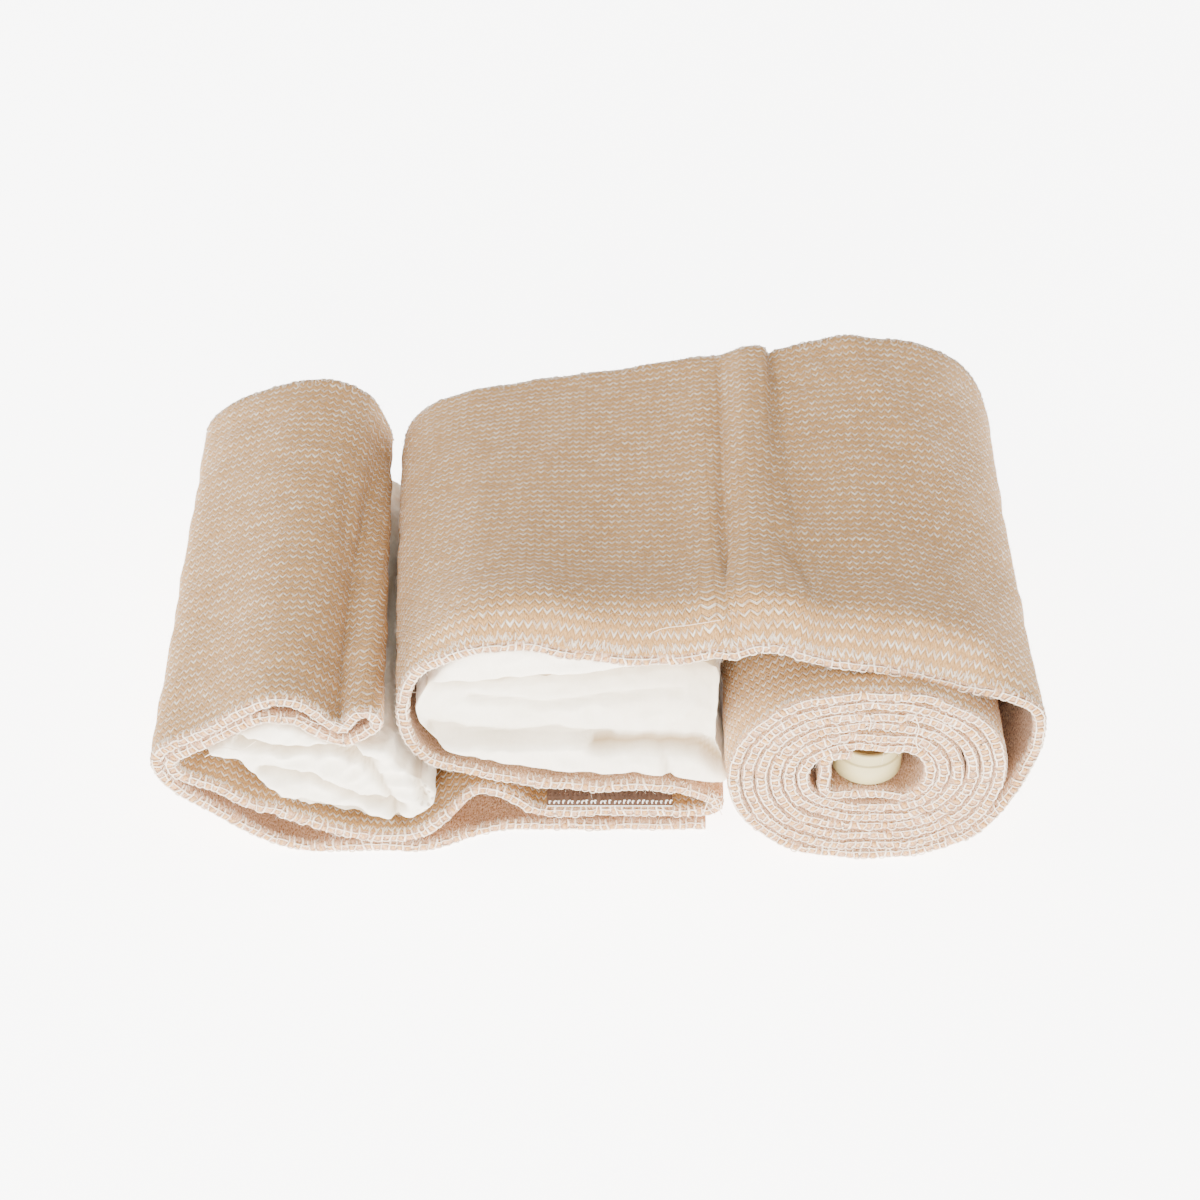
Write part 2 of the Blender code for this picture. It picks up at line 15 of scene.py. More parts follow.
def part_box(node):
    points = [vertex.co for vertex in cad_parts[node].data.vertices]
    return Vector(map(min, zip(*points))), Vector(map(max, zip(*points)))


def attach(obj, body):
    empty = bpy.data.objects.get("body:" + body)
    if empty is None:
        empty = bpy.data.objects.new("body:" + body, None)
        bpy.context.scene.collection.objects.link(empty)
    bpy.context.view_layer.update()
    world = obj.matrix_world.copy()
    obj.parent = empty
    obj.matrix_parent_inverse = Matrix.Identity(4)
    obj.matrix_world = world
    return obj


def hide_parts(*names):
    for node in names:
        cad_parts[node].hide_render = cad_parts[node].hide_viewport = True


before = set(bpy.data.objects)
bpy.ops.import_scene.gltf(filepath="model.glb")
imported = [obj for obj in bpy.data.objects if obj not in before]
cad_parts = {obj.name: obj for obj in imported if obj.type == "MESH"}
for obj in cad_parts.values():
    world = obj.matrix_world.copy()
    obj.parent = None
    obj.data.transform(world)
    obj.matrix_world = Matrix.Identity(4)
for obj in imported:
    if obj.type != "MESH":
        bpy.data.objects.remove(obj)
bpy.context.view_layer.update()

# knitted cloth
CLOTH = 0.0023          # thickness of the elastic knit
GAP = 0.00030           # space kept between two layers that touch
WIDTH = 0.100           # width of the strip
# left fold
LEFT_L = 0.0420         # length of the left fold along X
LEFT_H = 0.0407         # height of the left fold
LOOP_R = 0.0023         # radius of the curled loop at the fold's right side
VALLEY = 0.0016         # space between the left and the middle fold
# middle fold
MID_L = 0.0586          # length of the middle fold along X
MID_H = 0.0522          # height of the middle fold
# hook tape
TAPE_T = 0.0005         # thickness of its backing
HOOK_H = 0.0025         # room for its hooks
# roll
ROLL_GAP = 0.0013       # space between the middle pad and the roll
TURNS = 6               # whole turns in the roll
ROLL_LONG = 0.0043      # half the extra length of the oval roll
ROLL_FLAT = 2.2         # how flat the oval's long sides run
ROLL_H = 0.0440         # height that the loose wrap's shares refer to
BAR_W = 0.0133          # width of the closure bar
BAR_T = 0.0071          # thickness of the closure bar
UNDER_BAR = (0.25, 0.05, -0.15, -0.32)     # points of the end under the bar, shares of BAR_W
BAR_AHEAD = 0.0026      # how far the moulded bar reaches out in front of its solid
END_ROOM = 0.0006       # space between the bar's left side and the strip's end
ROUND = 24              # points in one turn of the roll

PITCH = CLOTH + GAP
FLOOR_Z = CLOTH / 2
TAPE_ROOM = TAPE_T + HOOK_H + GAP
MID_X = LEFT_L + CLOTH + VALLEY

# left fold from the floor round its left end towards the loop's neck; x share of LEFT_L, height
# share of LEFT_H above the floor layer, room added inside share of LEFT_H
# x front, height front, room front, x back, height back, room back
LEFT_FOLD = (
    (0.652, 0.000, 0.098, 0.652, 0.000, 0.029),
    (0.521, 0.032, 0.113, 0.521, 0.020, 0.037),
    (0.407, 0.096, 0.120, 0.407, 0.064, 0.037),
    (0.300, 0.192, 0.074, 0.295, 0.133, 0.029),
    (0.205, 0.280, 0.064, 0.200, 0.211, 0.025),
    (0.119, 0.354, 0.039, 0.114, 0.295, 0.015),
    (0.043, 0.437, 0.012, 0.043, 0.388, 0.007),
    (0.005, 0.536, 0.002, 0.002, 0.501, 0.002),
    (0.024, 0.619, 0.002, 0.019, 0.604, 0.002),
    (0.095, 0.678, 0.002, 0.083, 0.683, 0.002),
    (0.195, 0.732, 0.002, 0.179, 0.752, 0.002),
    (0.305, 0.806, 0.005, 0.293, 0.811, 0.002),
    (0.414, 0.885, 0.012, 0.412, 0.855, 0.005),
    (0.521, 0.939, 0.034, 0.521, 0.872, 0.010),
    (0.619, 0.943, 0.044, 0.629, 0.870, 0.015),
    (0.702, 0.894, 0.025, 0.729, 0.840, 0.012),
    (0.767, 0.816, 0.012, 0.805, 0.776, 0.007),
)
# the loop's middle: x share of LEFT_L, height share of LEFT_H, degrees its neck points at
LOOP_FRONT = (0.940, 0.815, 42)
LOOP_BACK = (0.835, 0.520, -84)
# the loop's outline from its neck on: ahead along the neck's direction and aside, shares of LOOP_R
LOOP = ((-1.95, 0.70), (-0.35, 0.94), (0.60, 0.80), (1.00, 0.00), (0.60, -0.80), (-0.35, -0.94))
NECK = 1.16             # width of the loop's neck, share of the layers' pitch

TAPE_LIFT = 0.023       # lift of the run that bears the tape, share of MID_H
# run over the floor layer: x share of MID_L, lift front, lift back as shares of MID_H
FLOOR = (
    (-0.214, 0.034, 0.011),
    (-0.138, 0.010, 0.004),
    (-0.062, 0.002, 0.002),
    (0.000, 0.002, 0.002),
    (0.052, 0.027, 0.011),
    (0.099, 0.075, 0.027),
    (0.150, 0.113, 0.038),
    (0.204, 0.138, 0.046),
    (0.258, 0.136, 0.048),
    (0.312, 0.112, 0.046),
    (0.355, 0.080, 0.040),
    (0.388, 0.048, 0.031),
    (0.416, 0.029, 0.025),
    (0.446, TAPE_LIFT, TAPE_LIFT),
    (0.595, TAPE_LIFT, TAPE_LIFT),
    (0.747, TAPE_LIFT, TAPE_LIFT),
    (0.868, TAPE_LIFT, TAPE_LIFT),
    (0.975, TAPE_LIFT, TAPE_LIFT),
)
FREE_END = 0.970        # where the strip begins on the floor, share of MID_L
NARROW_X = 0.15         # where the floor runs step from EDGE_LEFT to EDGE_MID, share of MID_L

# run under the middle pad: x share of MID_L, lift front, lift back shares of MID_H, tape room
LOWER = (
    (0.975, 0.048, 0.048, 0.00),
    (0.885, 0.050, 0.046, 0.65),
    (0.789, 0.044, 0.034, 1.00),
    (0.693, 0.042, 0.027, 1.00),
    (0.595, 0.042, 0.026, 1.00),
    (0.501, 0.050, 0.026, 1.00),
    (0.403, 0.070, 0.036, 1.00),
    (0.310, 0.153, 0.074, 0.00),
    (0.216, 0.190, 0.088, 0.00),
    (0.126, 0.218, 0.100, 0.00),
)
# middle fold: x share of MID_L and height share of MID_H, at the front, the middle and the back
TOP_ROW = 6             # first row whose edges are EDGE_TOP
FLAP_ROW = 14           # first row that lies over the roll
TURN = (
    (0.064, 0.359, 0.035, 0.292, 0.040, 0.195),
    (0.024, 0.422, -0.013, 0.353, -0.018, 0.268),
    (0.002, 0.503, -0.039, 0.430, -0.058, 0.345),
    (0.000, 0.595, -0.040, 0.518, -0.066, 0.430),
    (0.015, 0.691, -0.019, 0.610, -0.042, 0.512),
    (0.052, 0.783, 0.029, 0.691, 0.015, 0.578),
    (0.106, 0.853, 0.096, 0.748, 0.093, 0.629),
    (0.174, 0.903, 0.177, 0.790, 0.184, 0.662),
    (0.261, 0.940, 0.272, 0.819, 0.285, 0.685),
    (0.388, 0.951, 0.393, 0.836, 0.401, 0.708),
    (0.508, 0.924, 0.511, 0.840, 0.514, 0.731),
    (0.629, 0.894, 0.629, 0.840, 0.629, 0.752),
    (0.750, 0.882, 0.750, 0.848, 0.750, 0.777),
    (0.872, 0.894, 0.872, 0.863, 0.872, 0.804),
    (0.970, 0.917, 0.973, 0.886, 0.976, 0.829),
    (1.027, 0.905, 1.034, 0.876, 1.040, 0.836),
    (1.105, 0.940, 1.115, 0.909, 1.125, 0.871),
    (1.179, 0.936, 1.185, 0.901, 1.189, 0.882),
    (1.243, 0.920, 1.236, 0.863, 1.216, 0.840),
)
# loose wrap over the roll: angle from +X, slack at the front, the middle, the back, shares of ROLL_H
WRAP = (
    (104, 0.070, 0.012, 0.004),
    (90, 0.030, 0.010, 0.008),
    (76, 0.004, 0.010, 0.020),
    (62, 0.004, 0.020, 0.050),
    (48, 0.038, 0.048, 0.070),
    (36, 0.100, 0.080, 0.088),
    (25, 0.140, 0.102, 0.098),
    (12, 0.112, 0.098, 0.100),
    (0, 0.082, 0.084, 0.100),
    (-13, 0.050, 0.066, 0.090),
    (-28, 0.018, 0.036, 0.064),
    (-46, 0.006, 0.010, 0.026),
    (-68, 0.000, 0.000, 0.004),
    (-90, 0.000, 0.000, 0.000),
)
# edges of the strip along Y, shares of WIDTH: front, back
EDGE_LEFT = (-0.500, 0.480)
EDGE_MID = (-0.445, 0.455)
EDGE_TOP = (-0.460, 0.460)
EDGE_WRAP = (-0.480, 0.500)
EDGE_ROLL = (-0.520, 0.480)

# knit: one stitch along the strip and one row of ticks across it
STITCH = 0.00138
ROW = 0.00175
# selvedge: pitch of the beads between two rungs of white thread
BEAD = 0.0015
THREAD_R = 0.00016      # radius of the white thread
FUZZ_R = 0.00003        # radius of a fibre at its root
RUNG_R = 0.00022        # radius of the short white threads between the beads
TICK_R = 0.00010        # radius of the short white stitches beside an edge
LOOSE_R = 0.00009       # radius of a loose thread
LOOP_CHANCE = 0.86      # share of the beads that have a white loop
LOOP_ENDS = 0.00070     # distance of a loop's ends from the middle of the cloth
BEAD_HALF = (0.00052, 0.00045, 0.00062)    # half a bead along the edge, outwards, through the cloth
# how far the strip's edges sway, how much further on the roll, the rise to it and the pitches
SWAY = 0.00022
SWAY_ROLL = 0.00025
SWAY_RISE = 0.02
SWAY_LONG = 0.0070
SWAY_SHORT = 0.0027
WALL = 0.00035          # how far the middle of the strip's edge stands out
# pads
FOLD_SIZES = (0.0085, 0.0042, 0.0014)      # size of the broad bulges, the folds and the ripples
BULGE = 0.0010          # height of the broad bulges of a pad's front
PUFF = 0.0004           # how far a pad's front stands out
SHADE_DROP = 0.007      # depth below the upper leaf over which the painted shade on the body fades
HOLE_PITCH = 0.0014     # pitch of the holes in the film
FILM_FROM = (-0.0345, -0.0315)             # X between which the film begins
# piece, node, size of its remeshed cells, height of its folds and of its ripples, depth of the recess
# between its first two pressed lines, strength of the film's holes
PADS = (
    ("left_wadding", "left_pad", 0.0007, 0.0009, 0.00022, 0.0, 1.0),
    ("middle_wadding", "middle_pad", 0.0008, 0.0004, 0.00012, 0.0026, 0.0),
)
# hook tape
TAPE_FACE = 0.00035     # thickness of the tape
TAPE_STEPS = 24         # pieces of the tape from its left to its right end
TAPE_EDGE_R = 0.00012   # radius of the tape's front edge
HOOKS = 27              # hooks in one row across the strip
HOOK_ROWS = 46          # rows of hooks from the front to the back
HOOK_TALL = 0.00085     # height of a hook
HOOK_R = 0.00015        # radius of a hook's wire
HOOK_BEND = 0.00022     # how far a hook bends over
# points of a hook: share of its height, share of its bend
HOOK = ((0.0, 0.0), (0.6, 0.0), (0.95, 0.25), (1.0, 0.9), (0.82, 1.4))
# bar, from its underside over the rim into the dished top: millimetres in from its wall, and height as
# a share of half its thickness
BAR_POINTS = 48
BAR_LAYERS = (
    (1.6, -1.0), (0.25, -1.0), (0.0, -0.93), (0.0, 0.22), (0.06, 0.27), (0.34, 0.30), (0.40, 0.34),
    (0.40, 0.90), (0.52, 0.985), (0.75, 1.0), (1.25, 0.99), (1.5, 0.93), (2.1, 0.72), (3.4, 0.56),
    (5.2, 0.50),
)

# camera of the photograph, in the row frame
CAMERA_AT = (0.00067, -0.4016, 0.3818)
CAMERA_DOWN = 42.0      # degrees below the horizon
CAMERA_LENS = 81.27
PICTURE = 1200          # width of the photograph in pixels
SENSOR = 36

# light: its name, place, size, power in watts and colour; the floor glows to stay near white
AIM = (0.0, 0.0, 0.02)
LIGHTS = (
    ("front_light", (-0.12, -1.15, 0.26), 0.6, 32.0, (1.0, 0.97, 0.91)),
    ("left_light", (-0.85, -0.15, 0.60), 0.45, 8.0, (1.0, 0.975, 0.93)),
    ("top_light", (0.25, 0.35, 1.0), 0.6, 3.0, (1.0, 0.975, 0.93)),
)
WORLD = (1.0, 0.975, 0.93, 1.0)
FLOOR_HALF = 1.6        # half the side of the pale floor
FLOOR_PAINT = (0.95, 0.945, 0.93)
FLOOR_GLOW = 6.5

# crest behind the front edge of the middle fold and the wrap
CREST = 0.0046          # how far it stands out
CREST_EDGE = 0.0013     # how far the edge in front of it hangs in
CREST_AT = 0.095        # share of the width at which it is highest
CREST_SHARP = 1.6       # how narrow it is
CREST_EDGE_AT = 0.03    # share of the width over which the edge hangs in
# soft unevenness of the cloth: its height, and two crossing waves a row in radians per metre
RUMPLE = 0.00016
RUMPLES = ((410, 190, 0.0, -120, 330), (260, -520, 1.0, 330, 190))
# pressed lines in the upper layer: how far they stand out, half width, height of the cloth there,
# and the pixels of the photograph that they pass
CREASES = (
    (-0.00055, 0.0008, 0.047, ((722, 363), (721, 480), (722, 594))),
    (0.00060, 0.0020, 0.047, ((743, 358), (744, 480), (746, 592))),
    (-0.00060, 0.0012, 0.046, ((766, 347), (770, 468), (772, 540), (785, 577), (806, 613))),
    (0.00070, 0.0030, 0.048, ((850, 342), (890, 400), (934, 447), (989, 510))),
    (0.00060, 0.0028, 0.047, ((774, 527), (892, 556), (968, 586))),
    (-0.00045, 0.0014, 0.047, ((800, 470), (880, 490), (950, 545))),
    (-0.00050, 0.0011, 0.036, ((343, 470), (345, 560), (346, 720))),
    (0.00040, 0.0035, 0.046, ((470, 420), (480, 520), (470, 610))),
)
# threads that lie loose: y of the plane that they lie in, share of the width, and their pixels
LOOSE = (
    (-0.53, ((915, 716), (919, 728), (916, 740), (919, 752))),
    (-0.53, ((868, 714), (871, 722), (869, 731))),
    (-0.53, ((909, 812), (916, 818), (923, 815), (928, 820))),
    (-0.47, ((703, 815), (708, 801), (712, 793), (716, 802), (722, 815))),
    (-0.47, ((712, 793), (718, 797), (724, 796))),
    (-0.425, ((640, 640), (652, 633), (665, 628), (690, 625), (720, 620))),
    (-0.50, ((300, 716), (318, 724), (334, 722), (350, 729))),
    (-0.50, ((205, 757), (222, 748), (241, 750), (256, 741))),
)
# lines pressed into the front of the left and the middle pad: half width, depth, pixels
PRESSED = ((
    (0.0009, 0.0024, ((238, 742), (285, 752), (330, 748), (372, 762))),
    (0.0010, 0.0020, ((262, 770), (315, 778), (360, 800), (402, 806))),
    (0.0008, 0.0018, ((345, 742), (372, 770), (392, 800), (398, 822))),
    (0.0008, 0.0016, ((300, 800), (345, 812), (385, 822))),
    (0.0008, 0.0018, ((392, 745), (412, 772), (425, 800))),
), (
    (0.0010, 0.0032, ((425, 690), (500, 688), (600, 678), (656, 669), (721, 667))),
    (0.0012, 0.0026, ((595, 748), (653, 747), (700, 750), (722, 764))),
    (0.0010, 0.0012, ((430, 735), (500, 742), (560, 738), (610, 745))),
    (0.0007, 0.0012, ((664, 756), (667, 770), (672, 781))),
    (0.0009, 0.0010, ((470, 705), (540, 712), (600, 706), (680, 700))),
))


def blend(values, v):
    """Value at v from front and back, or from front, middle and back."""
    if len(values) == 2:
        return values[0] + (values[1] - values[0]) * v
    a, b, c = values
    return a + (4 * b - 3 * a - c) * v + (2 * a - 4 * b + 2 * c) * v * v


def spline(rows, steps):
    """Smooth run through the rows, with so many points to a span."""
    out = []
    for k in range(len(rows) - 1):
        a, b = rows[k], rows[k + 1]
        before = rows[k - 1] if k else [2 * p - q for p, q in zip(a, b)]
        after = rows[k + 2] if k + 2 < len(rows) else [2 * q - p for p, q in zip(a, b)]
        for m in range(steps):
            t = m / steps
            out.append([0.5 * (2 * p + (q - o) * t + (2 * o - 5 * p + 4 * q - r) * t * t
                               + (3 * p - o - 3 * q + r) * t ** 3)
                        for o, p, q, r in zip(before, a, b, after)])
    return out + [list(rows[-1])]


def normals(points):
    """Unit vectors to the right of the run, lengthened at bends so that an offset keeps its width."""
    out = []
    for k, p in enumerate(points):
        a, b = points[max(k - 1, 0)], points[min(k + 1, len(points) - 1)]
        dirs = []
        for q, r in ((a, p), (p, b)):
            length = math.hypot(r[0] - q[0], r[1] - q[1])
            if length > 0:
                dirs.append(((r[0] - q[0]) / length, (r[1] - q[1]) / length))
        tx, tz = sum(d[0] for d in dirs), sum(d[1] for d in dirs)
        length = math.hypot(tx, tz)
        tx, tz = tx / length, tz / length
        half = tx * dirs[0][0] + tz * dirs[0][1]
        out.append((tz / max(half, 0.7), -tx / max(half, 0.7)))
    return out


def roll_radius(turned):
    """Radius of the roll after so many degrees from its lowest point."""
    return BAR_ROOM + GAP + CLOTH / 2 + PITCH * (WHOLE_TURNS - turned / 360)


def core_of_roll(angle):
    """How far the roll's stretched core reaches along X at an angle."""
    return ROLL_LONG * math.tanh(ROLL_FLAT * math.cos(angle)) / math.tanh(ROLL_FLAT)


WHOLE_TURNS = max(2, round(TURNS))
# the innermost turn clears the corners of the bar
BAR_ROOM = max((BAR_W / 2 - core_of_roll(a)) * math.cos(a) + BAR_T / 2 * math.sin(a)
               for a in (math.radians(5 * k) for k in range(19)))
ROLL_X = MID_X + MID_L + ROLL_GAP + CLOTH / 2 + roll_radius(90) + ROLL_LONG
ROLL_Z = roll_radius(0) + CLOTH / 2


def roll_point(angle, radius):
    """Point of the oval roll: a stretched core plus a radius."""
    a = math.radians(angle)
    return ROLL_X + core_of_roll(a) + radius * math.cos(a), ROLL_Z + radius * math.sin(a)


def clear_of_roll(x, z):
    """Move a point of the flap out of the roll's outermost turn."""
    core = max(-ROLL_LONG, min(ROLL_LONG, x - ROLL_X))
    dx, dz = x - ROLL_X - core, z - ROLL_Z
    reach, least = math.hypot(dx, dz), roll_radius(180) + PITCH * 1.25
    if reach >= least:
        return x, z
    return ROLL_X + core + dx * least / reach, ROLL_Z + dz * least / reach


def strip_section(v):
    """Centre line of the strip at the share v from its front to its back edge: x, z, front, back."""
    base = []
    for x, front, back in reversed(FLOOR):
        base.append([MID_X + x * MID_L, FLOOR_Z, blend((front, back), v) * MID_H])
    for xf, zf, rf, xb, zb, rb in LEFT_FOLD:
        base.append([blend((xf, xb), v) * LEFT_L, FLOOR_Z + blend((zf, zb), v) * LEFT_H,
                     blend((rf, rb), v) * LEFT_H])
    floor_rows = len(FLOOR)

    dense = spline(base, 2)
    inner = []
    for (x, z, room), (nx, nz) in zip(dense, normals(dense)):
        reach = PITCH + max(room, 0.0)
        inner.append((x + nx * reach, z + nz * reach))

    # floor layer and outside of the left fold
    start = MID_X + FREE_END * MID_L
    path = [[start, FLOOR_Z, *EDGE_MID]]
    for x, z, room in base[:floor_rows]:
        if x < start - GAP:
            edge = EDGE_MID if x > MID_X + NARROW_X * MID_L else EDGE_LEFT
            path.append([x, z, *edge])
    for x, z, room in spline(base[floor_rows:], 2):
        path.append([x, z, *EDGE_LEFT])

    # curled loop: the neck, the round and the layer under the neck
    heading = math.radians(blend((LOOP_FRONT[2], LOOP_BACK[2]), v))
    cx = blend((LOOP_FRONT[0], LOOP_BACK[0]), v) * LEFT_L
    cz = FLOOR_Z + blend((LOOP_FRONT[1], LOOP_BACK[1]), v) * LEFT_H
    loop = [dense[-3][:2], dense[-1][:2]]
    for ahead, aside in LOOP:
        loop.append((cx + LOOP_R * (ahead * math.cos(heading) - aside * math.sin(heading)),
                     cz + LOOP_R * (ahead * math.sin(heading) + aside * math.cos(heading))))
    (ax, az), (bx, bz) = loop[1:3]
    drop = math.hypot(bx - ax, bz - az)
    tx, tz = (bx - ax) / drop + math.cos(heading), (bz - az) / drop + math.sin(heading)
    reach = NECK * PITCH / math.hypot(tx, tz)
    loop += [(bx + tz * reach, bz - tx * reach), inner[-1], inner[-3]]
    for x, z in spline(loop, 2)[3:-3]:
        path.append([x, z, *EDGE_LEFT])

    # inside of the left fold and the run over the floor layer
    for x, z in reversed(inner):
        edge = EDGE_MID if x > MID_X + NARROW_X * MID_L else EDGE_LEFT
        path.append([x, z, *edge])

    # turn at the right end, run under the middle pad, middle fold and flap
    rest = []
    for x, front, back, tape in LOWER:
        z = FLOOR_Z + 2 * PITCH + blend((front, back), v) * MID_H + TAPE_ROOM * tape
        rest.append([MID_X + x * MID_L, z, *EDGE_MID])
    last = path[-1]
    radius = (rest[0][1] - last[1]) / 2
    for a in (-60, -30, 0, 30, 60):
        a = math.radians(a)
        path.append([last[0] + radius * math.cos(a), last[1] + radius + radius * math.sin(a), *EDGE_MID])
    for k, (xf, zf, xm, zm, xb, zb) in enumerate(TURN):
        x = MID_X + blend((xf, xm, xb), v) * MID_L
        z = FLOOR_Z + blend((zf, zm, zb), v) * MID_H
        if k >= FLAP_ROW:
            x, z = clear_of_roll(x, z)
        rest.append([x, z, *(EDGE_MID if k < TOP_ROW else EDGE_TOP)])
    for angle, front, middle, back in WRAP:
        slack = max(blend((front, middle, back), v), 0.0) * ROLL_H
        x, z = roll_point(angle, roll_radius(-90 - angle) + slack)
        rest.append([x, z, *(EDGE_WRAP if angle > -20 else EDGE_ROLL)])
    path += spline(rest, 2)

    # roll, wound inwards from its lowest point, and the end under the bar and round its left side
    for k in range(1, WHOLE_TURNS * ROUND - ROUND // 12 + 1):
        turned = 360 * k / ROUND
        x, z = roll_point(-90 - turned, roll_radius(turned))
        path.append([x, z, *EDGE_ROLL])
    for share in UNDER_BAR:
        path.append([ROLL_X + BAR_W * share, ROLL_Z - BAR_T / 2 - GAP - CLOTH / 2, *EDGE_ROLL])
    reach = END_ROOM + CLOTH / 2
    for turn, side in ((250, -1), (220, -1), (190, -1), (180, 0), (170, 1), (140, 1), (110, 1), (90, 1)):
        a = math.radians(turn)
        path.append([ROLL_X - BAR_W / 2 + reach * math.cos(a),
                     ROLL_Z + side * BAR_T / 2 + reach * math.sin(a), *EDGE_ROLL])
    path.append([ROLL_X - BAR_W * 0.28, ROLL_Z + BAR_T / 2 + CLOTH / 2 + GAP, *EDGE_ROLL])

    # the strip's edges wander gently from one run to the next
    for column in (2, 3):
        for _ in range(4):
            values = [p[column] for p in path]
            for k in range(1, len(path) - 1):
                path[k][column] = (values[k - 1] + 2 * values[k] + values[k + 1]) / 4
    return path


def cubic(knots, values, at):
    """Smooth run through values (rows, ...) given at the knots, read at other places."""
    step = np.diff(knots)
    slope = np.diff(values, axis=0) / step.reshape(-1, *[1] * (values.ndim - 1))
    wide = step.reshape(-1, *[1] * (values.ndim - 1))
    tangent = np.empty_like(values)
    tangent[1:-1] = (slope[:-1] * wide[1:] + slope[1:] * wide[:-1]) / (wide[:-1] + wide[1:])
    tangent[0], tangent[-1] = slope[0], slope[-1]
    k = np.clip(np.searchsorted(knots, at, side="right") - 1, 0, len(step) - 1)
    shape = (-1, *[1] * (values.ndim - 1))
    h = step[k].reshape(shape)
    t = ((at - knots[k]) / step[k]).reshape(shape)
    return ((2 * t ** 3 - 3 * t ** 2 + 1) * values[k] + (t ** 3 - 2 * t ** 2 + t) * h * tangent[k]
            + (3 * t ** 2 - 2 * t ** 3) * values[k + 1] + (t ** 3 - t ** 2) * h * tangent[k + 1])


def wander(at, pitch, seed):
    """Gentle random curve between -1 and 1, with one swing to about each pitch."""
    source = np.random.default_rng(seed)
    knots = np.arange(math.floor(at.min() / pitch) - 1, math.ceil(at.max() / pitch) + 3) * pitch
    return cubic(knots, source.uniform(-1, 1, len(knots)), at)


# rows of each stretch of the strip, as strip_section lays them, and the first row of each
ROWS_FLOOR = 1 + sum(1 for row in FLOOR if row[0] * MID_L < FREE_END * MID_L - GAP)
ROWS_LEFT = 2 * len(LEFT_FOLD) - 1
ROWS_LOOP = 2 * (len(LOOP) + 4) + 1 - 6
ROWS_INNER = 2 * (len(FLOOR) + len(LEFT_FOLD)) - 1
ROW_LEFT = ROWS_FLOOR
ROW_LOOP = ROW_LEFT + ROWS_LEFT
ROW_INNER = ROW_LOOP + ROWS_LOOP
ROW_TURN = ROW_INNER + ROWS_INNER
ROW_LOWER = ROW_TURN + 5
ROW_TOP = ROW_LOWER + 2 * len(LOWER)
ROW_WRAP = ROW_TOP + 2 * len(TURN)
ROW_ROLL = ROW_WRAP + 2 * len(WRAP) - 1
# longest step between two rows of the fine strip, from each of those rows on
STEPS = ((0, 0.0020), (ROW_LEFT, 0.0009), (ROW_LOOP, 0.0006), (ROW_INNER, 0.0016), (ROW_TURN, 0.0006),
         (ROW_LOWER, 0.0016), (ROW_TOP, 0.0008), (ROW_ROLL, 0.0016))
COLUMNS = 48            # points of the strip from its front to its back edge
TINY = 0.0002           # step along the strip from which its direction is read

even = np.linspace(0, 1, COLUMNS)
SHARES = 0.6 * even + 0.4 * (0.5 - 0.5 * np.cos(math.pi * even))
COARSE = np.stack([np.array(strip_section(v)) for v in SHARES], axis=1)
run_length = np.hypot(*np.moveaxis(np.diff(COARSE[:, :, :2], axis=0), 2, 0)).mean(axis=1)
KNOTS = np.concatenate([[0.0], np.cumsum(run_length)])
LENGTH = KNOTS[-1]

fine = [0.0]
for k in range(len(KNOTS) - 1):
    longest = [step for row, step in STEPS if row <= k][-1]
    count = max(1, math.ceil((KNOTS[k + 1] - KNOTS[k]) / longest))
    fine += [KNOTS[k] + (KNOTS[k + 1] - KNOTS[k]) * (m + 1) / count for m in range(count)]
ALONG = np.array(fine)

# the centre lines' distance from the strip's solid
strip_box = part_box("elastic_bandage")
inner_side = np.stack([np.array(normals(COARSE[:, j])) for j in range(COLUMNS)], axis=1)
raw_x = COARSE[:, :, 0:1] + inner_side[:, :, 0:1] * CLOTH / 2 * np.array([-1, 1])
SHIFT_X = raw_x.max() - strip_box[1][0]
SHIFT_Y = EDGE_ROLL[0] * WIDTH - strip_box[0][1]


def lie(at):
    """Middle of the cloth, unit vector along the run and unit vector to its inner side.

    at is the distance along the strip; the answer covers every column."""
    run = cubic(KNOTS, COARSE, at)
    before, after = np.maximum(at - TINY, 0), np.minimum(at + TINY, LENGTH)
    ahead = cubic(KNOTS, COARSE, after) - cubic(KNOTS, COARSE, before)
    flat = ahead[..., :2] / np.linalg.norm(ahead[..., :2], axis=-1, keepdims=True)
    front, back = run[..., 2], run[..., 3]
    y = (front + (back - front) * SHARES) * WIDTH
    frays = np.clip((at - KNOTS[ROW_ROLL]) / SWAY_RISE, 0, 1)
    loose = SWAY + SWAY_ROLL * frays
    sway_front = wander(at, SWAY_LONG, 1) * 0.6 + wander(at, SWAY_SHORT, 2) * 0.4
    sway_back = wander(at, SWAY_LONG, 3) * 0.6 + wander(at, SWAY_SHORT, 4) * 0.4
    y += (sway_front * loose)[:, None] * (1 - SHARES) ** 3 + (sway_back * loose)[:, None] * SHARES ** 3
    middle = np.stack([run[..., 0] - SHIFT_X, y - SHIFT_Y, run[..., 1]], axis=-1)
    tangent = np.stack([flat[..., 0], np.zeros_like(y), flat[..., 1]], axis=-1)
    inside = np.stack([flat[..., 1], np.zeros_like(y), -flat[..., 0]], axis=-1)
    return middle - inside * relief(middle, at)[..., None], tangent, inside


def seen(u, v):
    """Direction in which the photograph shows a pixel."""
    down, focal = math.radians(CAMERA_DOWN), CAMERA_LENS / SENSOR * PICTURE
    across, up = (u - PICTURE / 2) / focal, (PICTURE / 2 - v) / focal
    return np.array([across, math.cos(down) + up * math.sin(down), up * math.cos(down) - math.sin(down)])


def seen_at(u, v, height):
    """Place at a height that the photograph shows at a pixel."""
    ray = seen(u, v)
    return np.array(CAMERA_AT) + ray * (height - CAMERA_AT[2]) / ray[2]


